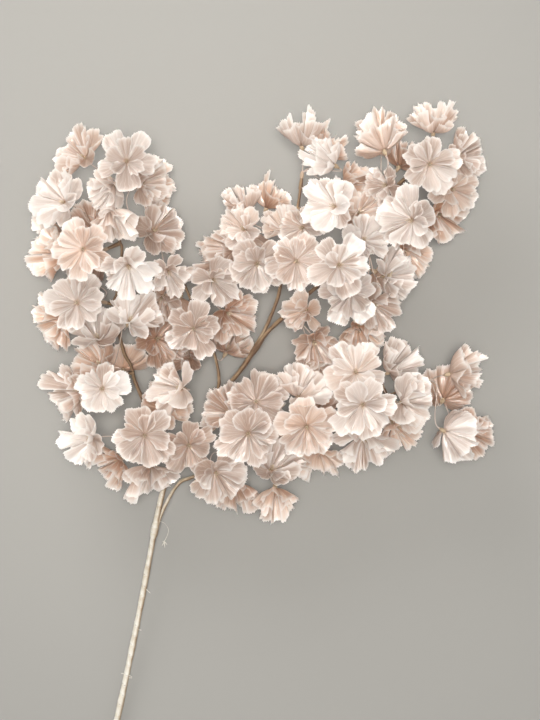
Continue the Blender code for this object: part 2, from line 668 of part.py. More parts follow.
def main():
    for obj in list(bpy.data.objects):
        bpy.data.objects.remove(obj)
    parts = new_collection("apple_blossom_branch")
    work = new_collection("joined_pieces")

    stem = smooth_route(MAIN_STEM, TUBE_STEP)
    routes = {"main_stem": stem}
    fine = smooth_route(MAIN_STEM, 3.0)
    for name, (route, at, side) in TWIGS.items():
        routes[name] = smooth_route(bound_route(fine, route, at, side), TUBE_STEP)
    twig_points = np.vstack([smooth_route(r, 4.0) for r in routes.values()])

    tips, roots = [], []
    for twig, tip, _ in BUNCHES.values():
        near = smooth_route(routes[twig], 2.0)
        tips.append(np.array(tip, float))
        reach = np.linalg.norm(near[:, :3] - tips[-1], axis=1)
        roots.append(near[int(reach.argmin()), :3])
    spurs = unit(np.array(tips) - np.array(roots))
    knots = np.array(tips) + spurs * (GAP + KNOT_LENGTH * KNOT_MIDDLE)

    blooms = collect_blooms()
    bow = push_apart(blooms, knots, spurs, twig_points)
    settle(blooms, thread_paths(knots, spurs, blooms, bow, THREAD_RINGS))
    paths = thread_paths(knots, spurs, blooms, bow, THREAD_RINGS)

    for name, route in routes.items():
        wood = tube(name, route, parts)
        for number, (bunch, (twig, tip, _)) in enumerate(BUNCHES.items()):
            if twig == name:
                prism(bunch + "_spur", roots[number], tip, SPUR_BASE, SPUR_TIP, SPUR_SIDES, work)
        fuse(wood, work)
        paint(wood, "wrapped_stem", TAPE_COLOUR, 0.8)

    for number, name in enumerate(BUNCHES):
        tip, spur = tips[number], spurs[number]
        start = tip + spur * GAP
        knot = prism(name, start, start + spur * KNOT_LENGTH, KNOT_RADIUS, KNOT_RADIUS * 0.8,
                     KNOT_SIDES, parts)
        for index in np.flatnonzero(blooms["bunch"] == number):
            verts, faces = bloom_mesh(int(index), blooms, paths[index])
            mesh_object(f"{name}_bloom_{index}", verts, faces, work)
        fuse(knot, work)
        paint(knot, "petal_fabric", PETAL_COLOUR, 0.75)

    cut_flat(parts)
    centre_on_origin(parts)


main()
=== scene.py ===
# %% [markdown]
# # A spray of satin apple blossom
# The real object is made by hand: a long steel wire and four thinner ones are wound with
# crepe paper tape, threads are tied to them in bunches, and each thread carries one bloom of
# creased satin. This lesson dresses the plain solids of that spray. It keeps their places, and
# gives every petal, thread and turn of tape its own surface.
# The solids are loaded first, because every new piece is placed from them.

# %% Load the solids
import math

import bpy
import numpy as np
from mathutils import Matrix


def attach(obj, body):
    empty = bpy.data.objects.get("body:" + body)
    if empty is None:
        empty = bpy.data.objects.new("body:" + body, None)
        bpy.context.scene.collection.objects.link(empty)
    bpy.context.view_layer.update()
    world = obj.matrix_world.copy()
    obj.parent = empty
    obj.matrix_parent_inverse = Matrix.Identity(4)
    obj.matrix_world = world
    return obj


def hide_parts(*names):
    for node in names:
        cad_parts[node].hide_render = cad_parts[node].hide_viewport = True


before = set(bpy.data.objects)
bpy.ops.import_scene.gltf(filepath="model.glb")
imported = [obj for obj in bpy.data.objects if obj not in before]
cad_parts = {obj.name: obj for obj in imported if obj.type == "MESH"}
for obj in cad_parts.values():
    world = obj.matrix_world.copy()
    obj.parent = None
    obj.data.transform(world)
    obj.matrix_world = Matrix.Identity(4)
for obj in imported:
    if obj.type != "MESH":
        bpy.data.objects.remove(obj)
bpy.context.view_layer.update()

# %% [markdown]
# ## The layout sheet
# The spray was laid out in millimetres on a sheet, seen from the front. A stem is a smooth
# curve through a few points, each with its radius. A bunch is the tip of the spur that its
# threads are tied to, and its blooms. These are the driving sizes of the solids, repeated
# here, because a fine petal needs to know which way its bloom faces and how wide it opens.

# %% Routes of the wires
MM = 0.001

# Each point is (x, y, height, radius), from the root to the tip
MAIN_STEM = [
    (-147, -372, 2.2, 2.9), (-132, -306, 9, 2.8), (-114, -220, 19, 2.6), (-98, -136, 29, 2.5),
    (-91, -108, 33, 2.4), (-83, -88, 37, 2.4), (-57, -53, 46, 2.2), (-43, -30, 50, 2.2),
    (-27, -11, 54, 2.1), (-13, 9, 57, 2.0), (-2, 24, 60, 2.0), (28, 52, 63, 1.8),
    (47, 70, 64, 1.7), (72, 102, 64, 1.6), (95, 134, 62, 1.5), (110, 150, 60, 1.3),
]
TWIG_TOP = [
    (6, 51, 66, 1.6), (10, 68, 68, 1.5), (20, 105, 71, 1.4), (23, 125, 71, 1.3), (26, 146, 70, 1.2),
]
TWIG_MIDDLE = [
    (-44, -13, 56, 1.4), (-50, 12, 58, 1.3), (-64, 43, 60, 1.3), (-76, 71, 60, 1.2),
    (-83, 88, 59, 1.2), (-88, 97, 58, 1.1),
]
TWIG_LEFT = [
    (-94, -62, 42, 1.6), (-105, -43, 47, 1.6), (-116, -19, 51, 1.6), (-120, -4, 53, 1.5),
    (-126, 8, 54, 1.5), (-134, 45, 57, 1.4), (-131, 59, 58, 1.4), (-127, 93, 59, 1.3),
    (-129, 102, 59, 1.3), (-131, 116, 58, 1.2), (-130, 132, 57, 1.1),
]
TWIG_RIGHT = [
    (-80, -108, 36, 1.5), (-66, -101, 39, 1.5), (-30, -87, 46, 1.5), (13, -68, 52, 1.4),
    (60, -47, 56, 1.3), (98, -32, 58, 1.2), (123, -22, 58, 1.1),
]

# Each side twig: its route, the height on the sheet where it is bound to the main stem, and
# the side of the stem that it lies on
TWIGS = {
    "twig_top": (TWIG_TOP, 10.0, 1),
    "twig_middle": (TWIG_MIDDLE, -44.0, 1),
    "twig_left": (TWIG_LEFT, -101.0, 1),
    "twig_right": (TWIG_RIGHT, -150.0, -1),
}
print("the main stem goes through", len(MAIN_STEM), "points, and carries", len(TWIGS), "side twigs")

# %% Bunches of blooms
# Each bunch: its twig, the tip of its spur, and its blooms. A bloom is (x, y, height of its
# throat, lean from straight up, direction of the lean, radius, cup)
BUNCHES = {
    "bunch_left_top": ("twig_left", (-129, 142, 57), [
        (-120, 166, 103, 10, 90, 25, 7), (-158, 172, 78, 40, 135, 24, 10),
        (-110, 150, 66, 55, 20, 21, 12), (-132, 148, 84, 50, 230, 19, 12),
    ]),
    "bunch_left_shoulder": ("twig_left", (-138, 117, 62), [
        (-173, 133, 88, 35, 160, 26, 9), (-134, 125, 100, 60, 290, 19, 12),
        (-151, 112, 76, 20, 90, 21, 9),
    ]),
    "bunch_left_back": ("twig_left", (-139, 96, 55), [
        (-180, 109, 34, 70, 200, 20, 11), (-177, 92, 56, 60, 180, 21, 11),
    ]),
    "bunch_left_upper": ("twig_left", (-126, 78, 64), [
        (-156, 93, 104, 6, 180, 26, 7), (-118, 80, 96, 40, 280, 25, 10),
    ]),
    "bunch_left_mid": ("twig_left", (-140, 49, 63), [
        (-162, 48, 100, 10, 150, 25, 8), (-178, 36, 54, 55, 200, 22, 11),
        (-152, 66, 34, 110, 150, 21, 10),
    ]),
    "bunch_left_waist": ("twig_left", (-128, 30, 63), [
        (-146, 17, 84, 50, 100, 26, 13), (-119, 32, 86, 45, 60, 24, 11),
        (-98, 19, 58, 30, 0, 22, 9), (-145, -5, 34, 50, 140, 20, 10),
    ]),
    "bunch_left_low": ("twig_left", (-124, -12, 58), [
        (-141, -24, 98, 5, 180, 23, 7), (-163, -27, 78, 55, 185, 25, 11),
        (-128, -8, 30, 125, 100, 21, 9),
    ]),
    "bunch_left_inner": ("twig_left", (-103, -29, 55), [
        (-91, -41, 62, 40, 40, 21, 9), (-75, -24, 86, 45, 170, 23, 12),
    ]),
    "bunch_left_foot": ("twig_left", (-110, -58, 52), [
        (-105, -63, 104, 10, 270, 26, 7), (-150, -66, 88, 45, 190, 24, 10),
        (-129, -85, 58, 65, 220, 21, 10),
    ]),
    "bunch_foot": ("main_stem", (-74, -66, 50), [
        (-69, -72, 84, 10, 300, 24, 8), (-102, -90, 76, 60, 265, 24, 11),
    ]),
    "bunch_middle_low": ("twig_middle", (-53, 22, 52), [
        (-70, 3, 52, 40, 110, 21, 10), (-38, 7, 26, 70, 60, 21, 9),
    ]),
    "bunch_middle_mid": ("twig_middle", (-60, 56, 66), [
        (-65, 27, 92, 8, 260, 24, 7), (-49, 68, 88, 30, 320, 24, 9),
        (-38, 41, 62, 45, 330, 21, 10),
    ]),
    "bunch_middle_back": ("twig_middle", (-82, 64, 54), [
        (-78, 54, 38, 105, 250, 20, 9), (-92, 54, 74, 35, 240, 20, 10),
    ]),
    "bunch_middle_top": ("twig_middle", (-91, 105, 57), [
        (-100, 110, 86, 35, 20, 25, 9), (-87, 75, 80, 35, 300, 20, 10),
        (-110, 150, 92, 40, 10, 20, 11),
    ]),
    "bunch_top_end": ("twig_top", (27, 155, 69), [
        (27, 182, 80, 72, 95, 21, 14), (43, 176, 66, 80, 60, 19, 12),
        (54, 165, 92, 62, 150, 20, 13), (65, 151, 70, 55, 10, 18, 11),
    ]),
    "bunch_top_right": ("twig_top", (31, 128, 76), [
        (55, 126, 108, 40, 160, 26, 9), (28, 112, 98, 22, 200, 20, 9),
    ]),
    "bunch_top_left": ("twig_top", (13, 107, 74), [
        (-20, 128, 72, 65, 110, 17, 10), (-3, 131, 58, 75, 70, 16, 11),
        (12, 111, 82, 40, 120, 17, 10), (-21, 110, 84, 30, 150, 19, 9),
    ]),
    "bunch_top_low": ("twig_top", (5, 72, 75), [
        (22, 83, 104, 8, 300, 25, 7), (-11, 82, 96, 18, 270, 24, 8),
        (-30, 96, 62, 50, 170, 18, 10), (-43, 88, 44, 75, 175, 18, 10),
        (4, 92, 38, 110, 200, 20, 9),
    ]),
    "bunch_fork": ("main_stem", (22, 36, 60), [
        (31, 42, 68, 30, 200, 18, 9), (37, 17, 62, 40, 290, 20, 10),
        (32, -2, 50, 60, 270, 20, 11),
    ]),
    "bunch_right_low": ("main_stem", (49, 63, 72), [
        (57, 81, 106, 12, 0, 26, 7), (68, 57, 98, 18, 220, 28, 8),
        (76, 29, 66, 50, 290, 20, 11),
    ]),
    "bunch_right_mid": ("main_stem", (79, 95, 67), [
        (78, 100, 96, 25, 40, 21, 9), (98, 71, 82, 48, 10, 23, 10),
        (87, 48, 72, 38, 320, 23, 10), (92, 76, 32, 110, 330, 21, 9),
    ]),
    "bunch_right_back": ("main_stem", (79, 127, 56), [
        (84, 126, 28, 130, 100, 21, 9), (75, 125, 80, 28, 40, 24, 9),
    ]),
    "bunch_right_high": ("main_stem", (98, 146, 68), [
        (96, 176, 96, 125, 110, 22, 12), (95, 186, 68, 50, 95, 21, 11),
        (99, 148, 84, 30, 190, 18, 9),
    ]),
    "bunch_right_end": ("main_stem", (118, 158, 60), [
        (134, 165, 102, 12, 300, 25, 7), (139, 194, 78, 62, 85, 21, 11),
        (159, 172, 78, 50, 20, 21, 10), (155, 146, 70, 22, 330, 23, 9),
    ]),
    "bunch_right_under": ("main_stem", (114, 140, 54), [
        (143, 127, 50, 55, 320, 20, 10), (112, 168, 32, 110, 60, 21, 9),
    ]),
    "bunch_right_front": ("main_stem", (98, 124, 68), [
        (119, 117, 104, 32, 190, 27, 8), (114, 95, 62, 50, 300, 19, 10),
    ]),
    "bunch_lower_first": ("twig_right", (-42, -84, 51), [
        (-46, -94, 96, 35, 310, 26, 9), (-30, -107, 62, 65, 275, 20, 11),
        (-18, -61, 96, 18, 270, 26, 8),
    ]),
    "bunch_lower_second": ("twig_right", (-12, -70, 56), [
        (-12, -36, 86, 18, 80, 26, 8), (-34, -46, 58, 45, 150, 21, 10),
        (-8, -52, 28, 120, 90, 20, 9),
    ]),
    "bunch_lower_third": ("twig_right", (8, -78, 57), [
        (0, -93, 90, 42, 60, 25, 12), (4, -110, 62, 65, 270, 17, 12),
    ]),
    "bunch_lower_fourth": ("twig_right", (28, -54, 61), [
        (31, -55, 102, 18, 275, 26, 8), (24, -31, 82, 55, 60, 26, 13),
        (41, -78, 68, 68, 270, 24, 11), (40, -44, 30, 120, 80, 20, 9),
        (11, -66, 70, 20, 90, 19, 9),
    ]),
    "bunch_lower_fifth": ("twig_right", (66, -38, 64), [
        (72, -11, 110, 18, 90, 27, 8), (77, -37, 116, 16, 270, 28, 8),
        (79, -64, 84, 52, 275, 28, 11),
    ]),
    "bunch_lower_sixth": ("twig_right", (97, -24, 63), [
        (102, -10, 86, 55, 30, 24, 11), (112, -36, 96, 42, 0, 25, 10),
        (107, -55, 66, 48, 320, 20, 10), (92, -36, 30, 120, 270, 21, 9),
    ]),
    "bunch_lower_end": ("twig_right", (132, -19, 58), [
        (154, -12, 70, 78, 10, 22, 12), (147, -60, 84, 125, 330, 23, 12),
        (165, -61, 66, 38, 330, 22, 10), (149, -34, 52, 130, 60, 20, 10),
    ]),
}
names = list(BUNCHES)
rows = np.array([bloom for _, _, blooms in BUNCHES.values() for bloom in blooms], float)
bunch_of = np.concatenate([[k] * len(b[2]) for k, b in enumerate(BUNCHES.values())])
home, lean, toward, radius, cup = rows[:, :3], rows[:, 3], rows[:, 4], rows[:, 5], rows[:, 6]
print(len(names), "bunches with", len(rows), "blooms")

# %% [markdown]
# ## Curves and directions
# A bent wire is a Catmull-Rom curve: it goes through every listed point, with
# no corners. The same formula was used for the solids, so the fine stems lie where those do.


# %% Smooth routes
def unit(v):
    """Vectors along the last axis, each divided by its own length."""
    v = np.asarray(v, float)
    return v / np.linalg.norm(v, axis=-1, keepdims=True)


def smooth_route(points, step):
    """A Catmull-Rom curve through (x, y, z, radius) points, read about every step: between
    two points it is a cubic whose slope at each is half the way between its neighbours."""
    p = np.asarray(points, float)
    p = np.vstack([2 * p[0] - p[1], p, 2 * p[-1] - p[-2]])
    pieces = []
    for a, b, c, d in zip(p, p[1:], p[2:], p[3:]):
        count = max(1, round(float(np.linalg.norm(c[:3] - b[:3])) / step))
        t = np.linspace(0, 1, count, endpoint=False)[:, None]
        bend = (2 * a - 5 * b + 4 * c - d) * t**2 + (3 * b - a - 3 * c + d) * t**3
        pieces.append(0.5 * (2 * b + (c - a) * t + bend))
    return np.vstack(pieces + [p[-2:-1]])


STEM_STEP = 3.0  # mm between the readings of the main stem
BOUND = 18.0  # mm, length over which a side twig lies bound to the stem
SIDE_GAP = 0.5  # mm between the two wires there
stem = smooth_route(MAIN_STEM, STEM_STEP)


def bound_route(route, at, side):
    """A twig's route with two points added at its root, where it lies beside the stem."""
    start = int(np.argmin(np.abs(stem[:, 1] - at)))
    run = np.linalg.norm(stem[:, :3] - stem[start, :3], axis=1)
    end = start + int(np.argmin(np.abs(run[start:] - BOUND)))
    added = []
    for k in (start, end):
        out = unit(np.cross((0, 0, 1), stem[k + 1, :3] - stem[k - 1, :3])) * side
        added.append([*(stem[k, :3] + out * (stem[k, 3] + route[0][3] + SIDE_GAP)), route[0][3]])
    return added + route


wires = {"main_stem": MAIN_STEM}
wires.update({name: bound_route(*facts) for name, facts in TWIGS.items()})
SOLID_STEP = 40.0  # mm, length of a straight stretch of the solid stems, where the spurs root
spur_tips = np.array([tip for _, tip, _ in BUNCHES.values()], float)
spur_roots = []
for (twig, _, _), tip in zip(BUNCHES.values(), spur_tips):
    wire = smooth_route(smooth_route(wires[twig], SOLID_STEP), 2.0)[:, :3]
    spur_roots.append(wire[int(np.linalg.norm(wire - tip, axis=1).argmin())])
spur_roots = np.array(spur_roots)
spurs = unit(spur_tips - spur_roots)
spur_length = np.linalg.norm(spur_tips - spur_roots, axis=1).mean()
print("spurs reach", np.round(spur_length, 1), "mm on average")

# %% [markdown]
# ## Finding the blooms in the solids
# In the source, a rule pushed the bunches gently apart, so a bloom isn't quite where the
# sheet has it. Its true place is read from its solid. The rim of a bloom is an irregular ring
# of fifteen corners, and no two blooms have the same one, so each bloom is looked for by its
# own ring, as a key is matched to its lock.

# %% The frame of each bloom
tilt, way = np.radians(lean), np.radians(toward)
face = np.stack([np.sin(tilt) * np.cos(way), np.sin(tilt) * np.sin(way), np.cos(tilt)], axis=1)
across = np.stack([-np.sin(way), np.cos(way), 0 * way], axis=1)
frames = np.stack([across, np.cross(face, across), face], axis=1)

PETALS, WHORLS = 5, 2
LIFTS, SWAYS = (-1.6, 1.8), (-0.07, 0.07)  # mm and radians, least and most of a petal's move
SEED = 431


def bloom_character(index):
    """The turn of a bloom, and how far each petal of its two whorls lifts and sways."""
    rng = np.random.default_rng(SEED + index)
    turn = rng.uniform(0, 2 * math.pi)
    return turn, rng.uniform(*LIFTS, (WHORLS, PETALS)), rng.uniform(*SWAYS, (WHORLS, PETALS))


characters = [bloom_character(k) for k in range(len(rows))]
turn, lift, sway = (np.array(values) for values in zip(*characters))
print("blooms lean", lean.min(), "to", lean.max(), "degrees from straight up")

# %% The rim of each solid bloom
NOTCH, NOTCH_HEIGHT = 0.64, 0.55  # the notch between two petals, beside the radius and the cup
CORNER, CORNER_RADIUS = 0.55, 1.05  # a petal's corner: its place in the petal, its distance
RUFFLE = 1.1  # mm, height of the corners' wave

# One notch and two corners for each petal, so every array is blooms by petals by three
spot = np.array([-1, -CORNER, CORNER])
is_notch = np.array([1.0, 0, 0])
corner_sway = sway[:, 0, :, None] * (1 - is_notch)
angle = (np.arange(PETALS)[:, None] + spot / 2) * 2 * math.pi / PETALS + corner_sway
angle = angle + turn[:, None, None]
out = radius[:, None, None] * np.where(is_notch, NOTCH, CORNER_RADIUS)
up = np.where(is_notch, NOTCH_HEIGHT * cup[:, None, None],
              cup[:, None, None] + lift[:, 0, :, None] + RUFFLE * np.sign(spot))
rims = np.stack([out * np.cos(angle), out * np.sin(angle), up * np.ones_like(angle)], axis=-1)
rims = rims.reshape(len(rows), -1, 3) @ frames
print("each rim has", rims.shape[1], "corners")


# %% Match each bloom to its solid
RING_FIT = 0.03  # mm, how well the sides of a ring have to agree
SEARCH = 45.0  # mm, furthest that the rule moved a bloom, with room to spare
GAP, KNOT_LENGTH, KNOT_RADIUS, THREAD_RADIUS = 0.35, 5.0, 1.7, 0.62  # mm, on the solids


def corners_of(name):
    """A node's corners in millimetres, each once, whichever triangles share it."""
    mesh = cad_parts[name].data
    flat = np.empty(len(mesh.vertices) * 3, np.float32)
    mesh.vertices.foreach_get("co", flat)
    return np.unique(np.round(flat.reshape(-1, 3).astype(float) / MM, 2), axis=0)


def ring_middles(corners, size):
    """The middles of three-sided rings: three corners, all a ring's side from each other."""
    gaps = np.linalg.norm(corners[:, None] - corners, axis=2)
    near = np.abs(gaps - size * 3**0.5) < RING_FIT
    first, second = np.nonzero(np.triu(near))
    third = near[first] & near[second] & (np.arange(len(corners)) > second[:, None])
    pair, last = np.nonzero(third)
    return (corners[first[pair]] + corners[second[pair]] + corners[last]) / 3


def find_throat(corners, rim, near):
    """Tries every corner close by as the rim's second one, and keeps the try whose whole rim
    falls best on corners of the solid."""
    tries = corners - rim[1]
    tries = tries[np.linalg.norm(tries - near, axis=1) < SEARCH]
    gaps = np.linalg.norm((tries[:, None] + rim)[:, :, None] - corners, axis=3).min(axis=2)
    return tries[np.minimum(gaps, 1).sum(axis=1).argmin()]


corners = {name: corners_of(name) for name in names}
starts = spur_tips + spurs * GAP
offsets = [ring_middles(corners[name], KNOT_RADIUS) - start for name, start in zip(names, starts)]
shift = np.median(np.vstack(offsets), axis=0)
place = np.array([find_throat(corners[names[b]], rim, at + shift)
                  for b, rim, at in zip(bunch_of, rims, home)])
print("the sheet lies at", np.round(shift, 2), "mm, and the rule moved a bloom by up to",
      round(float(np.linalg.norm(place - home - shift, axis=1).max()), 1), "mm")

# %% [markdown]
# ## Helpers for surfaces
# Every surface below is worked out with numpy as a whole grid of points, and only then put
# into a mesh. A tube is a ring carried along a path. Each ring needs two directions across
# the path, and both come from one reference direction that the path never runs along.


# %% Tubes
def sweep(path, size, reference, sides):
    """Points of a tube as rings by sides: the path's point plus the radius times cosine and
    sine of the angle along two directions across the path."""
    path = np.asarray(path, float)
    tangent = unit(np.gradient(path, axis=0))
    side = unit(reference - tangent * (tangent @ np.asarray(reference, float))[:, None])
    other = np.cross(tangent, side)
    angle = np.arange(sides) * 2 * math.pi / sides
    size = np.asarray(size, float)
    size = np.broadcast_to(size[:, None] if size.ndim == 1 else size, (len(path), sides))
    circle = side[:, None] * np.cos(angle)[:, None] + other[:, None] * np.sin(angle)[:, None]
    return path[:, None] + circle * size[:, :, None]


def tube_faces(rings, sides):
    """Squares between the rings, and one flat face on each end."""
    number = np.arange(rings * sides).reshape(rings, sides)
    ahead = np.roll(number, -1, axis=1)
    squares = np.stack([number[:-1], ahead[:-1], ahead[1:], number[1:]], axis=-1).reshape(-1, 4)
    return squares.tolist() + [number[0, ::-1].tolist(), number[-1].tolist()]


def run_along(path):
    """The distance from the start of a path to each of its points, measured along it."""
    return np.concatenate([[0], np.cumsum(np.linalg.norm(np.diff(path, axis=0), axis=1))])


def tube(path, size, reference, sides, **values):
    """One tube as corners, faces and values kept on its corners. The value "wrap" holds the
    distance along the path and the angle round it, for patterns that follow the tube."""
    points = sweep(path, size, reference, sides)
    wrap = np.zeros(points.shape)
    wrap[..., 0] = run_along(path)[:, None]
    wrap[..., 1] = np.arange(sides) / sides
    kept = {"wrap": wrap.reshape(-1, 3)}
    for name, value in values.items():
        kept[name] = np.broadcast_to(np.asarray(value, float).reshape(-1, 1), points.shape[:2]).ravel()
    return points.reshape(-1, 3), tube_faces(*points.shape[:2]), kept


print("a tube of two rings of six corners has", len(tube_faces(2, 6)), "faces")


# %% One object from many surfaces
SHARP = math.radians(32)  # a fold sharper than this stays an edge


def make_piece(name, surfaces, material, stands_for):
    """Joins surfaces (corners in millimetres, faces, values) in one object at the origin, sets
    its material and the body that it rides on, and hides the solids that it stands for."""
    corners, faces, count = [], [], 0
    for points, polygons, _ in surfaces:
        corners.append(points)
        faces += [[k + count for k in polygon] for polygon in polygons]
        count += len(points)
    mesh = bpy.data.meshes.new(name)
    mesh.from_pydata((np.vstack(corners) * MM).tolist(), [], faces)
    for key in surfaces[0][2]:
        value = np.concatenate([kept[key] for _, _, kept in surfaces]).astype(np.float32)
        kind, field = ("FLOAT_VECTOR", "vector") if value.ndim == 2 else ("FLOAT", "value")
        mesh.attributes.new(key, kind, "POINT").data.foreach_set(field, value.ravel())
    mesh.shade_smooth()
    mesh.set_sharp_from_angle(angle=SHARP)
    mesh.materials.append(material)
    piece = bpy.data.objects.new(name, mesh)
    bpy.context.scene.collection.objects.link(piece)
    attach(piece, "root")
    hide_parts(*stands_for)
    return piece


def triangles(pieces):
    """How many triangles the pieces have: a face with n corners counts n - 2."""
    return sum(len(p.data.loops) - 2 * len(p.data.polygons) for p in pieces)


print("folds sharper than", round(math.degrees(SHARP)), "degrees stay edges")


# %% Colours and nodes
def colour(hex_code):
    """An sRGB hex colour as linear red, green, blue and alpha."""
    c = np.array([int(hex_code[k:k + 2], 16) / 255 for k in (1, 3, 5)])
    linear = np.where(c <= 0.04045, c / 12.92, ((c + 0.055) / 1.055) ** 2.4)
    return (*linear.tolist(), 1.0)


def add_node(material, kind, settings=None, stops=(), **inputs):
    """Adds a node with its settings, the stops of its colour ramp, and its inputs, by name or
    by number, as in _0. An input is a value, or the output of another node, to be linked."""
    node = material.node_tree.nodes.new(kind)
    for key, value in (settings or {}).items():
        setattr(node, key, value)
    for _ in stops[2:]:
        node.color_ramp.elements.new(0.5)
    for number, (position, hex_code) in enumerate(stops):
        node.color_ramp.elements[number].position = position
        node.color_ramp.elements[number].color = colour(hex_code)
    for key, value in inputs.items():
        socket = node.inputs[int(key[1:]) if key[0] == "_" else key.replace("_", " ")]
        if isinstance(value, bpy.types.NodeSocket):
            material.node_tree.links.new(value, socket)
        else:
            socket.default_value = value
    return node


def new_material(name):
    """An empty material, and the input of its output node that takes the finished surface."""
    material = bpy.data.materials.new(name)
    material.use_nodes = True
    material.node_tree.nodes.clear()
    output = material.node_tree.nodes.new("ShaderNodeOutputMaterial")
    return material, output.inputs["Surface"]


def finish_material(material, shader, surface_input):
    """Links the last shader to the output, and says how many nodes the material has."""
    material.node_tree.links.new(shader.outputs[0], surface_input)
    print(material.name, "has", len(material.node_tree.nodes), "nodes")


print("the sRGB grey #808080 is", round(colour("#808080")[0], 3), "in linear light")

# %% [markdown]
# ## Creased satin
# A petal is cut from thin polyester satin, stiffened, creased in a hot press and rubbed with
# peach dye near the throat. Such cloth has three traits to the eye: its long floats shine in
# soft streaks, which the creases break up; its cut edge and turned-up sides catch the light,
# which is painted on as white, a painted highlight; and it lets light through, so that a
# petal in front of another glows warm. One glossy surface would look like plastic, so the
# shader mixes a rough surface with a translucent one, and lays a weak blurred gloss over
# both. The dye follows the petal's length, which each corner keeps as the value "depth".

# %% The dye of a petal, and its painted warm shade
# A pattern is scaled by its steps for each millimetre sideways and along the petal
STREAKS = (0.55, 0.07, 1.0)  # a streak is about 1.8 mm wide and 14 mm long
petal_fabric, petal_surface = new_material("polyester_satin_petal")
on_petal = {name: add_node(petal_fabric, "ShaderNodeAttribute", {"attribute_name": name})
            for name in ("depth", "warmth", "cloth", "grey_and_painted_shade", "vein", "edge")}
share = {name: node.outputs["Fac"] for name, node in on_petal.items()}
cloth = on_petal["cloth"].outputs["Vector"]
pale = add_node(petal_fabric, "ShaderNodeValToRGB", Fac=share["depth"], stops=[
    (0.0, "#C9A98C"), (0.12, "#F0EAE6"), (0.4, "#F5F3F2"), (0.85, "#F8F6F5"), (1.0, "#FFFFFE")])
peach = add_node(petal_fabric, "ShaderNodeValToRGB", Fac=share["depth"], stops=[
    (0.0, "#B8906C"), (0.14, "#EDCDB2"), (0.4, "#F1D9C5"), (0.85, "#F5E2D3"), (1.0, "#FBF0E7")])
BLEND, MULTIPLY = {"data_type": "RGBA"}, {"data_type": "RGBA", "blend_type": "MULTIPLY"}
# warmth mixes in the peach: dye, and painted warm shade on the lower blooms
dyed_and_warm_shaded = add_node(petal_fabric, "ShaderNodeMix", BLEND,
                _0=share["warmth"], _6=pale.outputs["Color"], _7=peach.outputs["Color"])

# The dye runs in streaks along the petal, so the noise is stretched along its length
streak_place = add_node(petal_fabric, "ShaderNodeMapping", Vector=cloth, Scale=STREAKS)
streaks = add_node(petal_fabric, "ShaderNodeTexNoise", Vector=streak_place.outputs["Vector"],
                   Scale=1.0, Detail=3.0)
streak_share = add_node(petal_fabric, "ShaderNodeMapRange", Value=streaks.outputs["Fac"],
                        From_Min=0.35, From_Max=0.75, To_Min=0.0, To_Max=0.35)
streaked = add_node(petal_fabric, "ShaderNodeMix", MULTIPLY,
                    _0=streak_share.outputs["Result"], _6=dyed_and_warm_shaded.outputs[2], _7=colour("#F5EEE9"))
print("the dye takes", len(petal_fabric.node_tree.nodes), "nodes")

# %% Painted shade on the pleats, painted highlights on the veins and edges
VEIN_BENDS = (0.25, 0.18, 1.0)  # a vein bends about every 4 to 6 mm
VEIN_SWAY = 0.9  # how far a vein moves aside, beside the space between two veins
VEIN_WHITE = 0.55  # how white a vein's painted highlight is

# Painted shade: the climbing side of each pleat is painted greyer, and whole blooms are greyer, some at
# random and those in the hollow as painted shade
greyed_and_shaded = add_node(petal_fabric, "ShaderNodeMix", MULTIPLY,
                   _0=share["grey_and_painted_shade"], _6=streaked.outputs[2], _7=colour("#E1D6CF"))

# Painted highlight: pressed veins run from the throat to the edge, painted as thin white lines, with
# gaps in them
vein_place = add_node(petal_fabric, "ShaderNodeMapping", Vector=cloth, Scale=VEIN_BENDS)
sway_noise = add_node(petal_fabric, "ShaderNodeTexNoise", Vector=vein_place.outputs["Vector"],
                      Scale=1.0, Detail=1.0)
swayed = add_node(petal_fabric, "ShaderNodeMath", {"operation": "MULTIPLY_ADD"},
                  _0=sway_noise.outputs["Fac"], _1=VEIN_SWAY, _2=share["vein"])
from_vein = add_node(petal_fabric, "ShaderNodeMath", {"operation": "PINGPONG"},
                     _0=swayed.outputs[0], _1=0.5)
vein_line = add_node(petal_fabric, "ShaderNodeMapRange", Value=from_vein.outputs[0],
                     From_Min=0.02, From_Max=0.13, To_Min=1.0, To_Max=0.0)
vein_share = add_node(petal_fabric, "ShaderNodeMath", {"operation": "MULTIPLY"},
                      _0=vein_line.outputs["Result"], _1=VEIN_WHITE)
veins_highlighted = add_node(petal_fabric, "ShaderNodeMix", BLEND,
                  _0=vein_share.outputs[0], _6=greyed_and_shaded.outputs[2], _7=colour("#FDFAF7"))

# Painted highlight: the cut edge and the turned-up sides are painted white, where light catches them
rim_highlighted = add_node(petal_fabric, "ShaderNodeMix", BLEND,
                  _0=share["edge"], _6=veins_highlighted.outputs[2], _7=colour("#FFFEFD"))
print("with its creases it takes", len(petal_fabric.node_tree.nodes), "nodes")

# %% The shine of satin
THREAD_SPACING = 0.7  # mm; the real weave has 0.15 mm, which the picture could not show
CRUSHES = (0.8, 0.1, 1.0)  # a fine crease is 1.25 mm wide and 10 mm long
THROUGH = 0.75  # share of the light that one face of a petal lets through
SHINE = 0.08  # share of the light that the floats reflect

# The weave is too fine to be drawn thread by thread, so it is a fine uneven bump
weave_place = add_node(petal_fabric, "ShaderNodeMapping", Vector=cloth,
                       Scale=(1 / THREAD_SPACING, 1 / THREAD_SPACING, 1.0))
weave = add_node(petal_fabric, "ShaderNodeTexNoise", Vector=weave_place.outputs["Vector"],
                 Scale=1.0, Detail=2.0)
woven = add_node(petal_fabric, "ShaderNodeBump", Height=weave.outputs["Fac"],
                 Strength=0.12, Distance=0.0002)

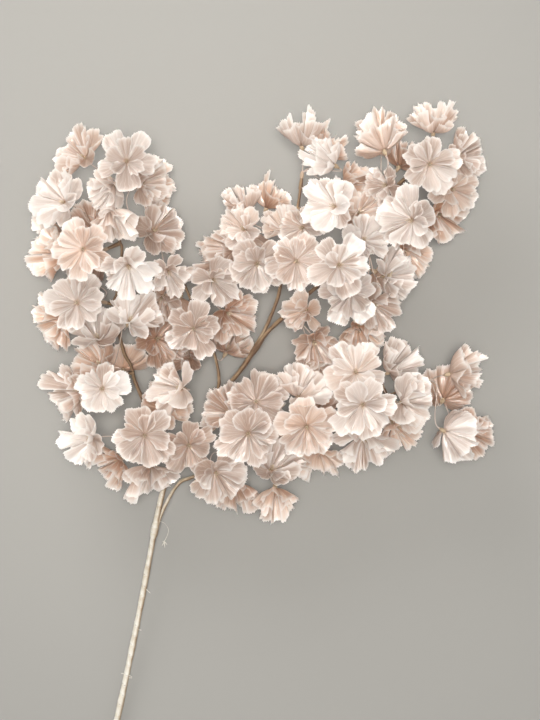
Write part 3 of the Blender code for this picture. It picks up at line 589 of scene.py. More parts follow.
# The press crushes satin into fine creases along the petal, which break its shine into streaks
crush_place = add_node(petal_fabric, "ShaderNodeMapping", Vector=cloth, Scale=CRUSHES)
crush = add_node(petal_fabric, "ShaderNodeTexNoise", Vector=crush_place.outputs["Vector"],
                 Scale=1.0, Detail=3.0)
crushed = add_node(petal_fabric, "ShaderNodeBump", Height=crush.outputs["Fac"],
                   Normal=woven.outputs["Normal"], Strength=0.8, Distance=0.0012)
matt = add_node(petal_fabric, "ShaderNodeBsdfPrincipled", Base_Color=rim_highlighted.outputs[2],
                Normal=crushed.outputs["Normal"], Roughness=0.5, IOR=1.5)
glow = add_node(petal_fabric, "ShaderNodeBsdfTranslucent", Color=rim_highlighted.outputs[2])
thin = add_node(petal_fabric, "ShaderNodeMixShader", Fac=THROUGH,
                _1=matt.outputs[0], _2=glow.outputs[0])

# The long floats of a satin weave lie side by side, and shine like one blurred mirror
floats = add_node(petal_fabric, "ShaderNodeBsdfAnisotropic", Normal=crushed.outputs["Normal"],
                  Color=colour("#FFFFFF"), Roughness=0.34)
satin = add_node(petal_fabric, "ShaderNodeMixShader", Fac=SHINE,
                 _1=thin.outputs[0], _2=floats.outputs[0])
finish_material(petal_fabric, satin, petal_surface)

# %% [markdown]
# ## One petal
# A petal is a fan: narrow at the throat, with straight sides, round corners and a toothed
# edge left by the cutting die. It could be a flat shape bent by hand, but a hundred blooms
# have a thousand petals, so it is a function of two parameters. One runs across the petal
# from -1 to 1, the other along it from 0 at the throat to 1 at the edge. Its height adds the
# simple movements of the real cloth: the cup, the pressed pleats, the curled sides, the
# rolled tip and the wave of the edge. All petals are computed together, in one array.

# %% Small wave functions
COLUMNS, ROWS = 18, 10  # squares across and along one petal
THROAT = 1.3  # mm, radius where the petals go into the calyx


def ease(x, start, end):
    """0 before start, 1 after end, and a smooth S between them."""
    t = np.clip((x - start) / (end - start), 0, 1)
    return t * t * (3 - 2 * t)


def pleat(x, skew, crisp):
    """A pleat's wave from -1 to 1: it climbs over the share skew of each turn, and falls back
    over the rest. A crisp one has a crease at both, and a soft one is rounded there."""
    y = x - np.floor(x)
    sharp = 2 * np.minimum(y / skew, (1 - y) / (1 - skew)) - 1
    return crisp * sharp + (1 - crisp) * np.sin(sharp * math.pi / 2)


print("a pleat at its crease is", pleat(0.5, 0.5, 1.0), "and at its foot", pleat(0.0, 0.5, 1.0))


# %% The petal's surface
FULL_LENGTH = 1.04  # length of a petal at its middle, beside the bloom's radius
DIP_WIDTH = 0.16  # width of the dip in its edge, beside half its own width
LOBES, RIPPLES = 10, 7.5  # radians of the edge's lobes and of its wave, over half its width
CURLED = (0.5, 1.05)  # where across the petal its sides start to curl, and end
FINE_CREASES, FINE_HEIGHT = 2.7, 0.14  # the finer creases, beside the number and height of the pleats


def petal_grid(p, v, s):
    """Points of all petals, as petals by rows by columns by (out, sideways, up), each point's
    distance from the throat, and how grey it is painted: the petal's grey, which is painted
    shade for the blooms in the hollow, plus painted shade on the climbing side of each pleat.
    That distance is v times the petal's length, which drops with the fourth power of p at the
    corners, has one dip and small lobes, and is ragged at the edge. The angle is p times half
    the petal's width. The height is a sum: the cup, about (v + 2 v squared) / 3, and the lift;
    the belly, highest in the middle, the roll to one side, and the clasp, which closes both;
    the slant of the whole whorl; the curls of the left and right sides; the turned tip; the
    pleats and finer creases, waves that climb and fall across the petal; and the wave and
    crumple of its edge."""
    corners = s["corner"] * np.abs(p) ** 4
    dip = s["dip"] * np.exp(-(((p - s["skewed"]) / DIP_WIDTH) ** 2))
    length = s["radius"] * (FULL_LENGTH - corners - dip)
    length = length + s["lobe"] * np.sin(LOBES * p + s["wander"])
    out = THROAT + v * (length - THROAT) + s["ragged"] * ease(v, 0.6, 1.0)
    angle = p * s["width"] * (0.93 + 0.07 * v) + s["turn"]
    up = s["cup"] * (0.34 * v + 0.66 * v**2) + s["lift"] * v**2
    up = up + s["belly"] * (0.5 - p**2) * v + s["roll"] * p * v + s["clasp"] * np.abs(p) ** 1.3 * v
    up = up + s["slant"] * out * np.cos(angle - s["slant_way"])
    curl = np.where(p < 0, s["left"], s["right"])
    up = up + curl * ease(np.abs(p), *CURLED) * v**0.75 * (1 - 0.3 * v**3)
    up = up + s["tip"] * ease(v, 0.62, 1.0) ** 2
    pleat_height = s["fold"] * v**1.2 * (1 - 0.4 * v**4)
    turns = s["pleats"] * p / 2 + s["phase"] + 0.1 * np.sin(4 * p + s["wander"])
    up = up + pleat_height * pleat(turns, s["skew"], s["crisp"])
    fine_turns = FINE_CREASES * s["pleats"] * p / 2 + s["wander"]
    up = up + FINE_HEIGHT * pleat_height * pleat(fine_turns, 0.5, 1.0)
    up = up + s["wave"] * v**3 * np.sin(RIPPLES * p + s["wander"])
    up = up + s["crumple"] * ease(v, 0.45, 1.0)
    # Painted shade: the climbing side of each pleat is painted greyer, on top of the petal's grey
    climbs = turns - np.floor(turns) < s["skew"]
    grey_and_painted_shade = s["grey"] + s["grey_and_painted_shade"] * climbs * ease(v, 0.05, 0.3)
    return np.stack([out * np.cos(angle), out * np.sin(angle), up + s["base"]], axis=-1), out, grey_and_painted_shade


print("a petal is", FULL_LENGTH, "times as long as its bloom's radius at its middle")

# %% The closed shell of a petal
FABRIC = 0.3  # mm, thickness in the middle of a petal, which thins to nothing at its edge
TOOTH = 1.625  # mm, the longest tooth that the cutting die leaves
VEINS = 3.6  # pressed veins on half a petal's width
HALF_WIDTH = 0.6  # half a petal's width, beside the distance from its throat
NEXT_PATTERN, NEXT_VEIN = 7.3, 0.37  # how far the patterns move on from one petal to the next


def petal_shells(s, teeth):
    """Corners and values of every petal: the upper face, the lower face without its border,
    which both share, and one tooth for each column of the edge. A face is the petal's surface
    moved along its normal by half the fabric's thickness."""
    p = np.linspace(-1, 1, COLUMNS + 1)[None, None, :]
    v = np.linspace(0, 1, ROWS + 1)[None, :, None]
    grid, out, grey_and_painted_shade = petal_grid(p, v, s)
    normal = unit(np.cross(np.gradient(grid, axis=1), np.gradient(grid, axis=2)))
    inside = np.zeros((1, ROWS + 1, COLUMNS + 1, 1))
    inside[:, 1:-1, 1:-1] = FABRIC / 2
    upper, lower = grid + normal * inside, grid - normal * inside
    border = grid[:, -1]
    outward = unit(grid[:, -1] - grid[:, -2])
    tips = (border[:, 1:] + border[:, :-1]) / 2 + outward[:, 1:] * teeth[:, :, None]
    count = len(grid)
    parts = [upper.reshape(count, -1, 3), lower[:, 1:-1, 1:-1].reshape(count, -1, 3), tips]
    sides = ease(np.abs(p), 0.82, 1.0) * ease(v, 0.1, 0.4)
    fields = {
        "cloth": np.stack([out * p * HALF_WIDTH, out, s["number"] * NEXT_PATTERN + 0 * out], axis=-1),
        "depth": v + 0 * out,
        # Painted highlight: how white the cut edge and the turned-up sides are painted
        "edge": np.maximum(sides, ease(v, 0.86, 1.0) * 0.8) + 0 * out,
        # the petal's grey, with painted shade on the climbing side of each pleat
        "grey_and_painted_shade": grey_and_painted_shade,
        "vein": p * VEINS + NEXT_VEIN * s["number"] + 0 * out,
    }

    def spread(value):
        """The same value on the upper face, the lower face and the teeth."""
        tooth = (value[:, -1:, 1:] + value[:, -1:, :-1]) / 2
        shares = [x.reshape(count, -1, *value.shape[3:]) for x in (value, value[:, 1:-1, 1:-1], tooth)]
        return np.concatenate(shares, axis=1)

    return np.concatenate(parts, axis=1), {name: spread(field) for name, field in fields.items()}


def petal_faces():
    """Squares of both faces of one petal. The last row has five-sided faces, whose fifth
    corner is a tooth."""
    upper = np.arange((ROWS + 1) * (COLUMNS + 1)).reshape(ROWS + 1, COLUMNS + 1)
    lower = upper.copy()
    inner_corners = (ROWS - 1) * (COLUMNS - 1)
    lower[1:-1, 1:-1] = upper.size + np.arange(inner_corners).reshape(ROWS - 1, COLUMNS - 1)
    teeth = upper.size + inner_corners + np.arange(COLUMNS)
    faces = []
    for side, order in ((upper, 1), (lower, -1)):
        squares = [side[:-2, :-1], side[1:-1, :-1], side[1:-1, 1:], side[:-2, 1:]]
        squares = np.stack(squares, axis=-1).reshape(-1, 4)
        last = np.stack([side[-2, :-1], side[-1, :-1], teeth, side[-1, 1:], side[-2, 1:]], axis=-1)
        faces += squares[:, ::order].tolist() + last[:, ::order].tolist()
    return faces


print("a petal has", len(petal_faces()), "faces")

# %% [markdown]
# ## How petals differ
# Satin petals come from the same die, but the press and the hand that opens them make each
# one different. A thousand petals can't be bent by hand, and a few copied shapes would show,
# so a seeded draw gives every petal its own pleats, curls and dye. The outer whorl opens wide,
# and the inner one is smaller and stands up more, turned by half a petal.

# %% Random numbers for the petals
WHORL_STEP = 2.0  # mm between the whorls at the throat
INNER_SIZE, INNER_CUP = (0.62, 0.92), 1.35  # the inner whorl, beside the outer one
INNER_SLANT, OUTER_SLANT = 0.28, 0.1  # mm up for each mm across, most that a whorl slants
BEHIND, FULLER = 67.0, 1.14  # blooms lower than this lie behind, and open wider
STAND_UP, DROOP = 6.5, 4  # mm, most that an inner petal stands up, and that any petal droops
SMOOTHED = 1.6  # how much smaller the smoothing makes an uneven edge
PETAL_SEED = 77
rng = np.random.default_rng(PETAL_SEED)
count = len(rows) * WHORLS * PETALS
shape = (len(rows), WHORLS, PETALS)


def draw(low, high):
    """One random number for each petal, ready to spread over its grid."""
    return rng.uniform(low, high, count).reshape(-1, 1, 1)


def per_petal(values):
    """Spreads values given by bloom, whorl or petal to all petals."""
    return np.broadcast_to(values, shape).reshape(-1, 1, 1).astype(float)


def uneven_edge(size):
    """A random number for each column of each petal, smoothed with both its neighbours."""
    noise = rng.normal(0, size * SMOOTHED, (count, 1, COLUMNS + 3))
    return (noise[..., :-2] + 2 * noise[..., 1:-1] + noise[..., 2:]) / 4


print("numbers are drawn for", count, "petals")

# %% Draw the petals
inner = np.arange(WHORLS)[None, :, None]
petal_turn = turn[:, None, None] + (np.arange(PETALS) + inner / 2) * 2 * math.pi / PETALS + sway
petal_turn = petal_turn + rng.uniform(-0.16, 0.16, shape)
bloom_radius, bloom_cup = radius[:, None, None], cup[:, None, None]
fuller = np.where(home[:, 2] < BEHIND, FULLER, 1.0)[:, None, None]
inner_size = rng.uniform(*INNER_SIZE, (len(rows), 1, 1))

# Painted shade: the blooms in the hollow between the branches and at the right-hand end are painted
# greyer
SHADED_BUNCHES = ("bunch_middle", "bunch_top_low", "bunch_foot", "bunch_lower_first",
           "bunch_lower_second", "bunch_lower_end")
ANY_GREY, HOLLOW_SHADE = 0.8, 0.4  # most grey that any bloom gets at random, and the painted shade added to these
in_painted_shade = np.array([name.startswith(SHADED_BUNCHES) for name in names])[bunch_of][:, None, None]
bloom_grey_and_shade = rng.uniform(0, 1, (len(rows), 1, 1)) ** 2 * ANY_GREY + HOLLOW_SHADE * in_painted_shade
petals = {
    "number": np.arange(count).reshape(-1, 1, 1).astype(float),
    "turn": per_petal(petal_turn),
    "radius": per_petal(bloom_radius * fuller * np.where(inner, inner_size, 1.0)) * draw(0.88, 1.08),
    "cup": per_petal(bloom_cup * np.where(inner, INNER_CUP, 1.0)),
    "lift": per_petal(lift) + draw(-2.0, 2.0) + per_petal(inner) * draw(0, 1) ** 2 * STAND_UP,
}
petals["lift"] = petals["lift"] - draw(0, 1) ** 6 * DROOP
petals.update({
    "base": per_petal(inner * WHORL_STEP),
    "width": draw(0.78, 1.04) * math.pi / PETALS,
    "roll": draw(-4.2, 4.2),
    "belly": draw(-2.0, 2.8),
    "clasp": draw(0, 1) ** 3 * 8,
    # how much painted shade falls on the climbing side of this petal's pleats
    "grey_and_painted_shade": draw(-0.3, 1.0).clip(0, 1),
    # grey at random, plus painted shade for the blooms in the hollow
    "grey": (per_petal(bloom_grey_and_shade) + draw(0, 1) ** 2 * 0.35).clip(0, 1),
    "lobe": draw(0.0, 0.9),
    "corner": draw(0.36, 0.56),
    "dip": draw(-0.02, 0.09),
    "skewed": draw(-0.3, 0.3),
    "left": draw(-0.6, 5.0),
    "right": draw(-0.6, 5.0),
    "tip": draw(-2.4, 2.4),
    "fold": 0.2 + 1.4 * draw(0, 1) ** 1.6,
    "pleats": draw(1.0, 2.4),
    "crisp": draw(0.2, 1.0),
    "skew": draw(0.25, 0.75),
    "wave": draw(0.2, 0.9),
    "phase": draw(0, 6.28),
    "wander": draw(0, 6.28),
})
whorl_slant = rng.uniform(0, 1, (len(rows), WHORLS, 1))
petals["slant"] = per_petal(whorl_slant * np.where(inner, INNER_SLANT, OUTER_SLANT))
petals["slant_way"] = per_petal(rng.uniform(0, 2 * math.pi, (len(rows), WHORLS, 1)))
petals["ragged"] = uneven_edge(0.6)
petals["crumple"] = uneven_edge(0.5)
teeth = rng.uniform(0.2, 1.0, (count, COLUMNS)) * TOOTH
points, values = petal_shells(petals, teeth)
petal_bloom = np.repeat(np.arange(len(rows)), WHORLS * PETALS)
points = np.einsum("nki,nij->nkj", points, frames[petal_bloom]) + place[petal_bloom, None]
print(count, "petals with", points.shape[1], "corners each")

# %% Lay the lowest petals on the table
REST = 0.25  # mm, lowest height of a petal's cloth over the table
LAID = 0.25  # share of its height over the lowest point that a petal laid flat keeps
lowest = points[..., 2].min()
points[..., 2] = np.maximum(points[..., 2], REST + LAID * (points[..., 2] - lowest))
print("the lowest point moves from", round(float(lowest), 1), "to", REST, "mm")

# %% Press the highest petals down to about the height of the solids
TOP, PRESSED = 141.0, 0.4  # mm, where the pressing starts, and the share of the rest that is kept
points[..., 2] = np.minimum(points[..., 2], TOP + PRESSED * (points[..., 2] - TOP))
print("the highest point lies at", round(float(points[..., 2].max()), 1), "mm")

# %% Dye and painted warm shade of each petal
height = place[:, 2]
# Painted warm shade: lower blooms are painted peachier, for the light that reaches them through the
# petals above; the random spread is the dye's own
bloom_warmth = 0.95 - 0.9 * ease(height, 45, 98) + rng.uniform(-0.2, 0.2, len(rows))

# A few blooms in front are dyed as peach as the painted shade makes those behind; these are their
# places on the sheet
DUSKY = np.array([(-156, 93), (31, -55), (96, 176)])
DEEPER, SAME_PLACE = 0.45, 0.5  # how much deeper, and mm within which a place is the same
is_dusky = (np.abs(home[:, None, :2] - DUSKY) < SAME_PLACE).all(axis=2).any(axis=1)
bloom_warmth = bloom_warmth + DEEPER * is_dusky
petal_warmth = np.clip(bloom_warmth[petal_bloom] + rng.uniform(-0.12, 0.12, count), 0, 1)
print("petals are dyed", round(float(petal_warmth.min()), 2), "to", round(float(petal_warmth.max()), 2))

# %% Petals of each bunch
faces = petal_faces()
petal_pieces = []
for number, name in enumerate(names):
    surfaces = []
    for k in np.flatnonzero(bunch_of[petal_bloom] == number):
        kept = {key: value[k] for key, value in values.items()}
        kept["warmth"] = np.full(len(points[k]), petal_warmth[k])
        surfaces.append((points[k], faces, kept))
    petal_pieces.append(make_piece(name + "_petals", surfaces, petal_fabric, [name]))
print("petals have", triangles(petal_pieces), "triangles")

# %% [markdown]
# ## Threads and calyxes
# Each bloom hangs on a thin waxed thread, which leaves its knot along the spur and comes to
# the bloom from behind. A cubic curve with two handles does just that. In the solids the
# handles were bowed to keep clear of the neighbours, and the bow is read from the rings of
# the solid thread, which lie at a third and at two thirds of its length.

# %% The threads' curves
CALYX_LENGTH = 7.0  # mm
LEAVE, ARRIVE, ARRIVE_MOST = 0.30, 0.36, 16.0  # handles beside the thread's reach; mm, the longest
IN_KNOT = 0.55  # where in its knot a thread starts, beside the knot's length
READINGS = 26  # points along one thread
HANDLE_MOVE = 1.5  # how far both handles move to move the curve by 1 where its rings lie
knots = spur_tips + spurs * (GAP + KNOT_LENGTH * IN_KNOT) + shift


def thread_curves(bow, t):
    """Cubic curves, as blooms by readings by 3: knot, handle along the spur, handle behind
    the bloom, end of the calyx."""
    a = knots[bunch_of]
    d = place - face * CALYX_LENGTH
    reach = np.linalg.norm(d - a, axis=1)[:, None]
    b = a + spurs[bunch_of] * reach * LEAVE + bow
    c = d - face * np.minimum(reach * ARRIVE, ARRIVE_MOST) + bow
    t = np.asarray(t)[None, :, None]
    a, b, c, d = (x[:, None] for x in (a, b, c, d))
    return a * (1 - t) ** 3 + b * 3 * t * (1 - t) ** 2 + c * 3 * t**2 * (1 - t) + d * t**3


straight = thread_curves(np.zeros((len(rows), 3)), (1 / 3, 2 / 3))
bow = []
for index, number in enumerate(bunch_of):
    rings = ring_middles(corners[names[number]], THREAD_RADIUS)
    early, late = rings - straight[index, 0], rings - straight[index, 1]
    match = np.linalg.norm(early[:, None] - late, axis=2)
    i, j = np.unravel_index(match.argmin(), match.shape)
    bow.append((early[i] + late[j]) / 2 * HANDLE_MOVE)
threads = thread_curves(np.array(bow), np.linspace(0, 1, READINGS))
thread_lengths = np.linalg.norm(np.diff(threads, axis=1), axis=2).sum(axis=1)
print("threads are", np.round(thread_lengths.mean(), 1), "mm long on average")

# %% [markdown]
# The thread is waxed cotton, dyed a pale pink, with a fine twist. The twist could be modelled,
# but the thread is about a pixel wide, so a bump is enough. The calyx is the same fabric as
# the petals, gathered and dipped in tan dye, and it hides where the thread is glued. Both are
# tubes in one material, whose colour follows the value "tan".

# %% Thread and calyx materials
TWIST = 1.6  # mm for one turn of the thread; the real one is half of that, too fine to show
waxed_thread, thread_surface = new_material("waxed_cotton_thread")
wrap = add_node(waxed_thread, "ShaderNodeAttribute", {"attribute_name": "wrap"})
tan = add_node(waxed_thread, "ShaderNodeAttribute", {"attribute_name": "tan"})
dip = add_node(waxed_thread, "ShaderNodeValToRGB", Fac=tan.outputs["Fac"], stops=[
    (0.0, "#A99B92"), (0.35, "#8A7763"), (0.75, "#77644E"), (1.0, "#96846D")])
split = add_node(waxed_thread, "ShaderNodeSeparateXYZ", Vector=wrap.outputs["Vector"])
along = add_node(waxed_thread, "ShaderNodeMath", {"operation": "MULTIPLY"},
                 _0=split.outputs["X"], _1=1 / TWIST)
spiral = add_node(waxed_thread, "ShaderNodeMath", {"operation": "ADD"},
                  _0=along.outputs[0], _1=split.outputs["Y"])
ridges = add_node(waxed_thread, "ShaderNodeMath", {"operation": "PINGPONG"},
                  _0=spiral.outputs[0], _1=0.5)
twisted = add_node(waxed_thread, "ShaderNodeBump", Height=ridges.outputs[0],
                   Strength=0.5, Distance=0.0003)
waxed = add_node(waxed_thread, "ShaderNodeBsdfPrincipled", Base_Color=dip.outputs["Color"],
                 Normal=twisted.outputs["Normal"], Roughness=0.55, IOR=1.45, Sheen_Weight=0.1)
finish_material(waxed_thread, waxed, thread_surface)

# %% Threads, calyxes and knots
FINE_THREAD = 0.45  # mm, radius of the real thread; the solid one is thicker
CALYX_RADIUS = 1.9  # mm
THREAD_SIDES, CALYX_SIDES, KNOT_SIDES = 6, 10, 9
NOT_ZERO = (0, 0, 1e-3)  # keeps a straight thread's bend from being no direction at all
CALYX_BEFORE, CALYX_PAST = 0.6, 0.4  # mm that the fine calyx is longer than the solid one
KNOT_BEFORE, KNOT_PAST = 1.5, 1.0  # mm that the fine knot is longer than the solid one
calyx_t = np.linspace(0, 1, 9)
knot_t = np.linspace(0, 1, 12)

# A calyx opens towards the bloom and bulges a little; a knot is round, with ridges of thread
calyx_size = FINE_THREAD + (CALYX_RADIUS - FINE_THREAD) * ease(calyx_t, 0.0, 0.85)
calyx_size = calyx_size + 0.3 * np.sin(math.pi * calyx_t)
calyx_tan = ease(calyx_t, 0.0, 0.4)
knot_size = 0.5 + 1.25 * np.sin(math.pi * (0.06 + 0.88 * knot_t)) ** 0.6 + 0.12 * np.sin(knot_t * 40)


def on_twig(twig):
    """The numbers of a twig's bunches, and of the blooms in them."""
    bunches = [k for k, name in enumerate(names) if BUNCHES[name][0] == twig]
    return bunches, np.flatnonzero(np.isin(bunch_of, bunches))


thread_pieces = []
for twig in wires:
    surfaces = []
    bunches, blooms = on_twig(twig)
    for index in blooms:
        thread, back = threads[index], face[index] * (CALYX_LENGTH + CALYX_BEFORE)
        bend = np.cross(thread[-1] - thread[0], thread[READINGS // 2 - 1] - thread[0])
        surfaces.append(tube(thread, FINE_THREAD, unit(bend + NOT_ZERO), THREAD_SIDES, tan=0.0))
        calyx = place[index] - back * (1 - calyx_t[:, None]) + face[index] * CALYX_PAST
        surfaces.append(tube(calyx, calyx_size, across[index], CALYX_SIDES, tan=calyx_tan))
    for number in bunches:
        along_spur = -KNOT_BEFORE + (KNOT_BEFORE + KNOT_LENGTH + KNOT_PAST) * knot_t[:, None]
        line = starts[number] + shift + spurs[number] * along_spur
        surfaces.append(tube(line, knot_size, np.roll(spurs[number], 1), KNOT_SIDES, tan=0.3))
    stands_for = [names[k] for k in bunches]
    thread_pieces.append(make_piece(twig + "_threads", surfaces, waxed_thread, stands_for))
print("threads, calyxes and knots have", triangles(thread_pieces), "triangles")

# %% [markdown]
# ## The tuft in the throat
# A real blossom has stamens. This one has a tuft of short dyed fibres, glued into the throat:
# thin cones that spread from one point, each with a bead of glue at its tip. A picture of a
# tuft would look flat from the side, and hair would be far too fine, so a dozen cones do.

# %% The tufts
FIBRES = 12
FIBRE_SIDES = 4
FIBRE_TURN = 2.4  # radians from one fibre to the next, close to the golden angle of real seeds
FIBRE_LENGTH, FIBRE_SPREAD = (3.6, 5.4), (0.1, 0.75)  # mm; sideways for each mm up
FIBRE_BEND, FIBRE_START = 0.25, 0.8  # up for each mm of length; mm over the throat
tuft_fibre, tuft_surface = new_material("dyed_tuft_fibre")
tip = add_node(tuft_fibre, "ShaderNodeAttribute", {"attribute_name": "tip"})
fibre_colour = add_node(tuft_fibre, "ShaderNodeValToRGB", Fac=tip.outputs["Fac"],
                        stops=[(0.0, "#8C7860"), (0.6, "#B3A189"), (1.0, "#C9BAA3")])
fibre_shader = add_node(tuft_fibre, "ShaderNodeBsdfPrincipled",
                        Base_Color=fibre_colour.outputs["Color"], Roughness=0.6, IOR=1.5)
finish_material(tuft_fibre, fibre_shader, tuft_surface)

# How far along a fibre its rings lie, and their radii in mm: a cone, and then the bead
fibre_t = np.array([0.0, 0.45, 0.8, 0.86, 0.94, 1.0])
fibre_size = np.array([0.3, 0.16, 0.12, 0.34, 0.34, 0.08])
tuft_pieces = []
for twig in wires:
    surfaces = []
    bunches, blooms = on_twig(twig)
    for index in blooms:
        for fibre in range(FIBRES):
            spread = rng.uniform(*FIBRE_SPREAD)
            way = fibre * FIBRE_TURN + rng.uniform(-0.3, 0.3)
            aim = np.array([math.cos(way) * spread, math.sin(way) * spread, 1.0]) @ frames[index]
            length = rng.uniform(*FIBRE_LENGTH)
            bend = face[index] * length * FIBRE_BEND * fibre_t[:, None] ** 2
            line = place[index] + unit(aim) * length * fibre_t[:, None] + bend
            line = line + face[index] * FIBRE_START
            surfaces.append(tube(line, fibre_size, across[index], FIBRE_SIDES, tip=fibre_t))
    stands_for = [names[k] for k in bunches]
    tuft_pieces.append(make_piece(twig + "_tufts", surfaces, tuft_fibre, stands_for))
print("tufts have", triangles(tuft_pieces), "triangles")

# %% [markdown]
# ## Wires wound with tape
# Crepe paper tape is stretched and wound in a rising spiral, each turn over half of the last,
# so every turn ends in a small step. The step is in the shape: the radius falls slowly along
# each turn, then jumps. The tape is pale on the lower stem and brown from the fork upwards,
# and one side of each wire is painted browner as shade, so that a twig shows two tones. It
# could be a plain tube with a bump, but then the edge of the wire would be straight.

# %% Tape material
CREPE = 0.5  # mm between the crinkles; the real paper has about 0.3 mm
CRINKLES_ROUND = 14.0  # breaks in the crinkles on one turn round the wire
PATCHES = 55.0  # patches of tone in a metre, so about one in 18 mm
crepe_tape, tape_surface = new_material("crepe_paper_tape")
on_tape = {name: add_node(crepe_tape, "ShaderNodeAttribute", {"attribute_name": name})
           for name in ("wrap", "brown", "step")}
tape_place = add_node(crepe_tape, "ShaderNodeTexCoord")
patches = add_node(crepe_tape, "ShaderNodeTexNoise", Vector=tape_place.outputs["Object"],
                   Scale=PATCHES, Detail=4.0, Roughness=0.6)
patch_share = add_node(crepe_tape, "ShaderNodeMapRange", Value=patches.outputs["Fac"],
                       From_Min=0.3, From_Max=0.7, To_Min=-0.22, To_Max=0.22)
tone = add_node(crepe_tape, "ShaderNodeMath", {"operation": "ADD", "use_clamp": True},
                _0=on_tape["brown"].outputs["Fac"], _1=patch_share.outputs["Result"])
tape_colour = add_node(crepe_tape, "ShaderNodeValToRGB", Fac=tone.outputs[0], stops=[
    (0.0, "#BAB8B1"), (0.35, "#9A8F7F"), (0.65, "#7C6851"), (1.0, "#543F2E")])

# Painted shade: the tape is painted darker in the corner under each step
shade = add_node(crepe_tape, "ShaderNodeValToRGB", Fac=on_tape["step"].outputs["Fac"],
                 stops=[(0.0, "#6A5646"), (0.14, "#FFFFFF"), (1.0, "#EBE4D8")])
shaded = add_node(crepe_tape, "ShaderNodeMix", MULTIPLY,
                  _0=1.0, _6=tape_colour.outputs["Color"], _7=shade.outputs["Color"])
crinkle_place = add_node(crepe_tape, "ShaderNodeMapping", Vector=on_tape["wrap"].outputs["Vector"],
                         Scale=(1 / CREPE, CRINKLES_ROUND, 1.0))
crinkles = add_node(crepe_tape, "ShaderNodeTexNoise", Vector=crinkle_place.outputs["Vector"],
                    Scale=1.0, Detail=2.0)
crinkled = add_node(crepe_tape, "ShaderNodeBump", Height=crinkles.outputs["Fac"],
                    Strength=0.4, Distance=0.0003)
paper = add_node(crepe_tape, "ShaderNodeBsdfPrincipled", Base_Color=shaded.outputs[2],
                 Normal=crinkled.outputs["Normal"], Roughness=0.82, IOR=1.5)
finish_material(crepe_tape, paper, tape_surface)

# %% A wound wire
TAPE_STEP = 0.06  # step between two turns, beside the radius
RING_STEP = 1.3  # mm between the rings of a wound wire
WIRE_SIDES = 14
SHADED_SIDE = 0.55  # how much browner one side of each wire is painted, as painted shade
STEM_TURN, SPUR_TURN, BINDING_TURN = 9.0, 3.0, 5.0  # mm along the wire for one turn of tape
UP = (0.0, 0.0, 1.0)


def wound_wire(route, browns, turn_length=STEM_TURN):
    """A tube along a route. Its radius is the wire's, times 1 plus the tape's step, which
    falls from the start of each turn to its end, plus two slow waves of uneven winding. The
    turns climb with the angle round the wire. browns gives how brown the tape is for each
    share of the way from the root to the tip, and one side of the wire is painted browner
    still, as painted shade."""
    fine = smooth_route(route, RING_STEP)
    path = fine[:, :3] + shift
    run = run_along(path)
    phase = (run[:, None] / turn_length + np.arange(WIRE_SIDES) / WIRE_SIDES) % 1.0
    uneven = 0.05 * np.sin(run / 9.0) + 0.04 * np.sin(run / 3.7)
    size = fine[:, 3:] * (1 + TAPE_STEP * (0.5 - phase) + uneven[:, None])
    points, faces, kept = tube(path, size, UP, WIRE_SIDES)
    shaded_side = np.sin(np.arange(WIRE_SIDES) * 2 * math.pi / WIRE_SIDES)
    # Painted shade: one side of each wire is painted browner
    kept["brown"] = (browns(run / run[-1])[:, None] + SHADED_SIDE * ease(shaded_side, 0.15, 0.85)).ravel()
    kept["step"] = phase.ravel()
    return points, faces, kept


print("the tape steps up by", round(100 * TAPE_STEP), "% of the wire's radius at each turn")

# %% Stem, twigs and spurs
SPUR_BASE, SPUR_TIP = 1.9, 1.3  # mm, radii of a spur at its root and at its tip


def stretch(start, end, start_radius, end_radius):
    """Four route points of a straight stretch that grows thinner from its root to its tip."""
    t = np.linspace(0, 1, 4)[:, None]
    return np.hstack([start + (end - start) * t, start_radius + (end_radius - start_radius) * t])


def melted_route(route):
    """A side twig's route, whose first two points move towards the stem and grow thinner, so
    that the twig comes out of the stem under the same tape."""
    melted = [list(point) for point in route]
    for point, share, thin in ((melted[0], 0.35, 0.7), (melted[1], 0.8, 0.95)):
        middle = stem[np.linalg.norm(stem[:, :3] - point[:3], axis=1).argmin(), :3]
        point[:] = [*(middle + (np.array(point[:3]) - middle) * share), point[3] * thin]
    return melted


# How brown the tape is along a wire, for each share of the way from its root to its tip
BROWNS = {
    "main_stem": lambda share: 0.8 * ease(share, 0.36, 0.62),
    "twig_right": lambda share: 0.1 + 0.6 * ease(share, 0.05, 0.35),
}
USUAL_BROWN = lambda share: 0.6 + 0.2 * ease(share, 0.0, 0.4)
wire_pieces = []
for twig, route in wires.items():
    drawn = route if twig == "main_stem" else melted_route(route)
    surfaces = [wound_wire(drawn, BROWNS.get(twig, USUAL_BROWN))]
    for number in on_twig(twig)[0]:
        spur = stretch(spur_roots[number], spur_tips[number], SPUR_BASE, SPUR_TIP)
        surfaces.append(wound_wire(spur, lambda share: 0.8 + 0 * share, SPUR_TURN))
    wire_pieces.append((twig, surfaces))
print("wound", sum(len(surfaces) for _, surfaces in wire_pieces), "wires and spurs")

# %% Bindings at the forks
BINDING = 12.0  # mm, length of the extra turns of tape that hold a twig's root
for _, at, _ in TWIGS.values():
    start = int(np.argmin(np.abs(stem[:, 1] - at)))
    way = unit(stem[start + 1, :3] - stem[start - 1, :3])
    places = stem[start, :3] + way * np.array([-0.5, -0.2, 0.4, 1.0])[:, None] * BINDING
    sleeve = np.hstack([places, stem[start, 3] * np.array([[0.9], [1.22], [1.3], [0.95]])])
    how_brown = 0.8 * ease(at, -120, -20)
    wire_pieces[0][1].append(wound_wire(sleeve, lambda share: how_brown + 0 * share, BINDING_TURN))
print("twigs come out of the stem over", BOUND, "mm")

